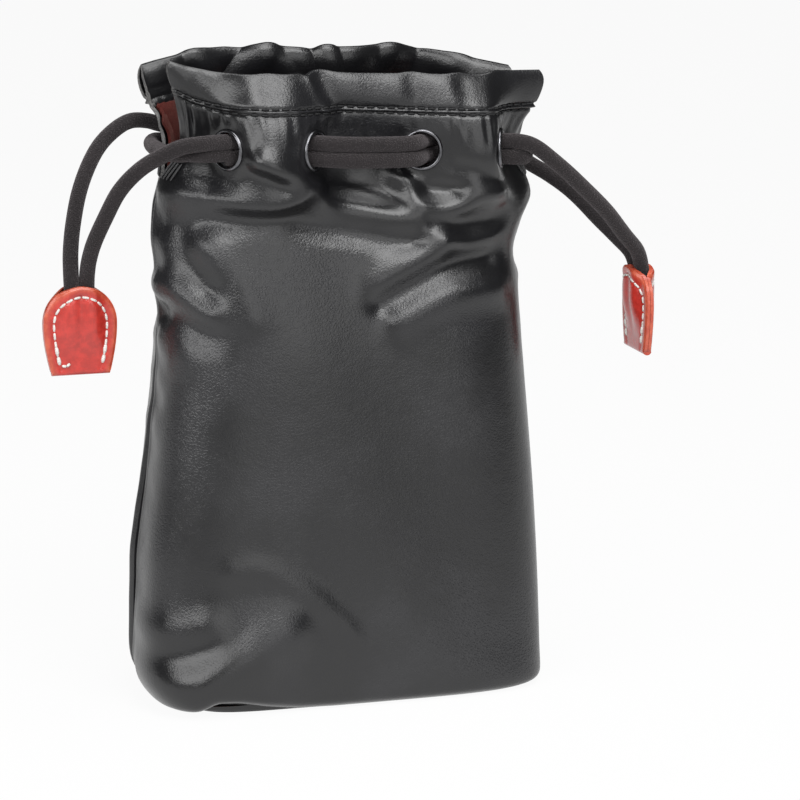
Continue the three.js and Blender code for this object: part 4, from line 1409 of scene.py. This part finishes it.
class LENSPOUCH_OT_lining(bpy.types.Operator):
    """Lines the walls, the flaps and the base with suede"""

    bl_idname = "lenspouch.lining"
    bl_label = "Lining"

    def execute(self, context):
        settings = context.scene.lens_pouch
        materials = [material_of("brushed_suede", red_suede, settings)]
        lined = (WALL_HEIGHTS > LINING_FOOT) & (WALL_HEIGHTS < HEM_STITCH - LINING_HEAD)
        heights = WALL_HEIGHTS[lined]
        depths = settings.leather + LINING_GAP + LINING_SLACK * (1.0 - smooth(heights, *SLACK_HEIGHTS))
        floor = []
        for side in ("front", "back"):
            surface = surface_of(side, settings)
            outer = surface.path(depths, heights, LINING_STEP)
            inner = surface.path(depths + settings.suede, heights, LINING_STEP)
            made = sheet_piece(f"{side}_suede", outer, inner, side, materials)
            hinge_blend(made)
            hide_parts(f"{side}_lining", f"{side}_flap_lining")
            floor.append(inner[0])
        outline = np.concatenate([floor[0][:-1], floor[1][:-1]])
        rings = [
            np.column_stack([outline[:, :2] * share, np.full(len(outline), height)])
            for share, height in LINING_RINGS
        ]
        made = disc_piece("base_suede", rings, materials)
        made.data.flip_normals()
        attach(made, "pouch")
        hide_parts("base_lining")
        return {"FINISHED"}


class LENSPOUCH_OT_eyelets(bpy.types.Operator):
    """Sets the eyelets: a rolled flange outside, a barrel, and a washer with its curl inside"""

    bl_idname = "lenspouch.eyelets"
    bl_label = "Eyelets"

    SECTION = (
        (BORE_RADIUS, -0.0036), (0.0056, -0.0042), (0.0064, -0.0042), (0.0067, -0.0037),
        (WASHER_RADIUS, -0.0034), (WASHER_RADIUS, -0.0026), (HOLE_RADIUS, -0.0024), (0.0056, -0.0010),
        (0.0057, -0.0001), (0.0063, -0.0002), (0.00660, 0.0001), (0.00655, 0.0005), (0.0063, 0.00085),
        (0.0059, 0.0010), (0.0055, 0.00085), (0.00525, 0.0004), (0.00518, -0.0002), (BORE_RADIUS, -0.0016),
    )

    def execute(self, context):
        settings = context.scene.lens_pouch
        material = material_of("plated_metal", gunmetal, settings)
        for side in ("front", "back"):
            for number, (centre, normal) in enumerate(eyelet_frames(side), 1):
                made = self.ring(f"{side}_ring_{number}", centre, normal, settings.eyelet_sides, material)
                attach(made, f"{side}_flap")
                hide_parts(f"{side}_eyelet_{number}", f"{side}_washer_{number}")
        return {"FINISHED"}

    def ring(self, name, centre, normal, sides, material):
        """The section turned round the eyelet's axis"""
        section = spline(self.SECTION + self.SECTION[:1], 54)[:-1]
        first = np.array([-normal[1], normal[0], 0.0])
        second = np.array([0.0, 0.0, 1.0])
        rows = []
        for angle in np.linspace(0.0, 2 * math.pi, sides, endpoint=False):
            out = math.cos(angle) * first + math.sin(angle) * second
            rows.append(centre + section[:, :1] * out + section[:, 1:] * normal)
        looped = ring_numbers(sides, len(section))[1]
        looped = np.concatenate([looped, looped[:1]])
        return piece(name, rows, grid_faces(looped).tolist(), [material], sharp=SHARP_ANGLE)


class LENSPOUCH_OT_tabs(bpy.types.Operator):
    """Makes the red tabs with their white stitching"""

    bl_idname = "lenspouch.tabs"
    bl_label = "Tabs"

    def execute(self, context):
        settings = context.scene.lens_pouch
        for cord, foot, turn, spread in (
            ("left", LEFT_TAB_FOOT, 0.0, 0.0024), ("right", RIGHT_TAB_FOOT, 0.5 * math.pi, 0.0026),
        ):
            made = tab_mesh(f"{cord}_tab_leather", foot, turn, spread, settings)
            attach(made, f"{cord}_tab")
            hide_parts(f"{cord}_tab")
            sewn = tab_stitches(f"{cord}_tab_stitches", foot, turn, spread, settings)
            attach(sewn, f"{cord}_tab")
        return {"FINISHED"}


class LENSPOUCH_OT_stitching(bpy.types.Operator):
    """Sews the two rows of stitches along each hem, and the bar tacks at the slits"""

    bl_idname = "lenspouch.stitching"
    bl_label = "Stitching"

    def execute(self, context):
        settings = context.scene.lens_pouch
        material = material_of("black_thread", thread, "black_thread", (0.012, 0.012, 0.013))
        grey = material_of("grey_thread", thread, "grey_thread", (0.085, 0.085, 0.087))
        for side in ("front", "back"):
            surface = surface_of(side, settings)
            places = []
            for row in (0.0, settings.stitch_rows):
                height = HEM_STITCH + row
                route = surface.path([-THREAD_LIFT], [height])[0][2:-4]
                normals = surface.path([-THREAD_LIFT - 0.001], [height])[0][2:-4] - route
                length, gap = settings.stitch_length, settings.stitch_gap
                places.extend(stitch_row(route, normals, length, gap, HEM_THREAD))
            made = stitches(f"{side}_hem_stitches", places, material)
            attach(made, f"{side}_flap")
            tacks = stitches(f"{side}_bar_tacks", self.tacks(surface), grey)
            hinge_blend(tacks)
        return {"FINISHED"}

    def tacks(self, surface):
        """Places of the upright stitches on both sides of each slit's foot"""
        low, high = surface.path([-THREAD_LIFT, -THREAD_LIFT], TACK_HEIGHTS)
        outer = surface.path([-THREAD_LIFT - 0.001], [sum(TACK_HEIGHTS) / 2])[0]
        places = []
        for column in (*TACK_COLUMNS, *(COLUMNS - column for column in TACK_COLUMNS)):
            run = high[column] - low[column]
            middle = (high[column] + low[column]) / 2
            length = np.linalg.norm(run)
            normal = outer[column] - middle
            places.append((middle, run / length, normal / np.linalg.norm(normal), length, TACK_THREAD))
        return places


class LENSPOUCH_PT_pouch(bpy.types.Panel):
    """Lists the pouch's pieces"""

    bl_idname = "LENSPOUCH_PT_pouch"
    bl_label = "Lens Pouch"
    bl_space_type = "VIEW_3D"
    bl_region_type = "UI"
    bl_category = "Lens Pouch"

    def draw(self, context):
        for operator in OPERATORS:
            self.layout.operator(operator.bl_idname)
        settings = context.scene.lens_pouch
        for name in settings.__annotations__:
            self.layout.prop(settings, name)


OPERATORS = (
    LENSPOUCH_OT_stage,
    LENSPOUCH_OT_cords,
    LENSPOUCH_OT_leather,
    LENSPOUCH_OT_lining,
    LENSPOUCH_OT_eyelets,
    LENSPOUCH_OT_tabs,
    LENSPOUCH_OT_stitching,
)
CLASSES = (PouchSettings, *OPERATORS, LENSPOUCH_PT_pouch)


def register():
    for item in CLASSES:
        bpy.utils.register_class(item)
    bpy.types.Scene.lens_pouch = PointerProperty(type=PouchSettings)


def unregister():
    del bpy.types.Scene.lens_pouch
    for item in reversed(CLASSES):
        bpy.utils.unregister_class(item)


def main():
    register()
    bpy.ops.lenspouch.stage()
    bpy.ops.lenspouch.cords()
    bpy.ops.lenspouch.leather()
    bpy.ops.lenspouch.lining()
    bpy.ops.lenspouch.eyelets()
    bpy.ops.lenspouch.tabs()
    bpy.ops.lenspouch.stitching()


if __name__ == "__main__":
    main()
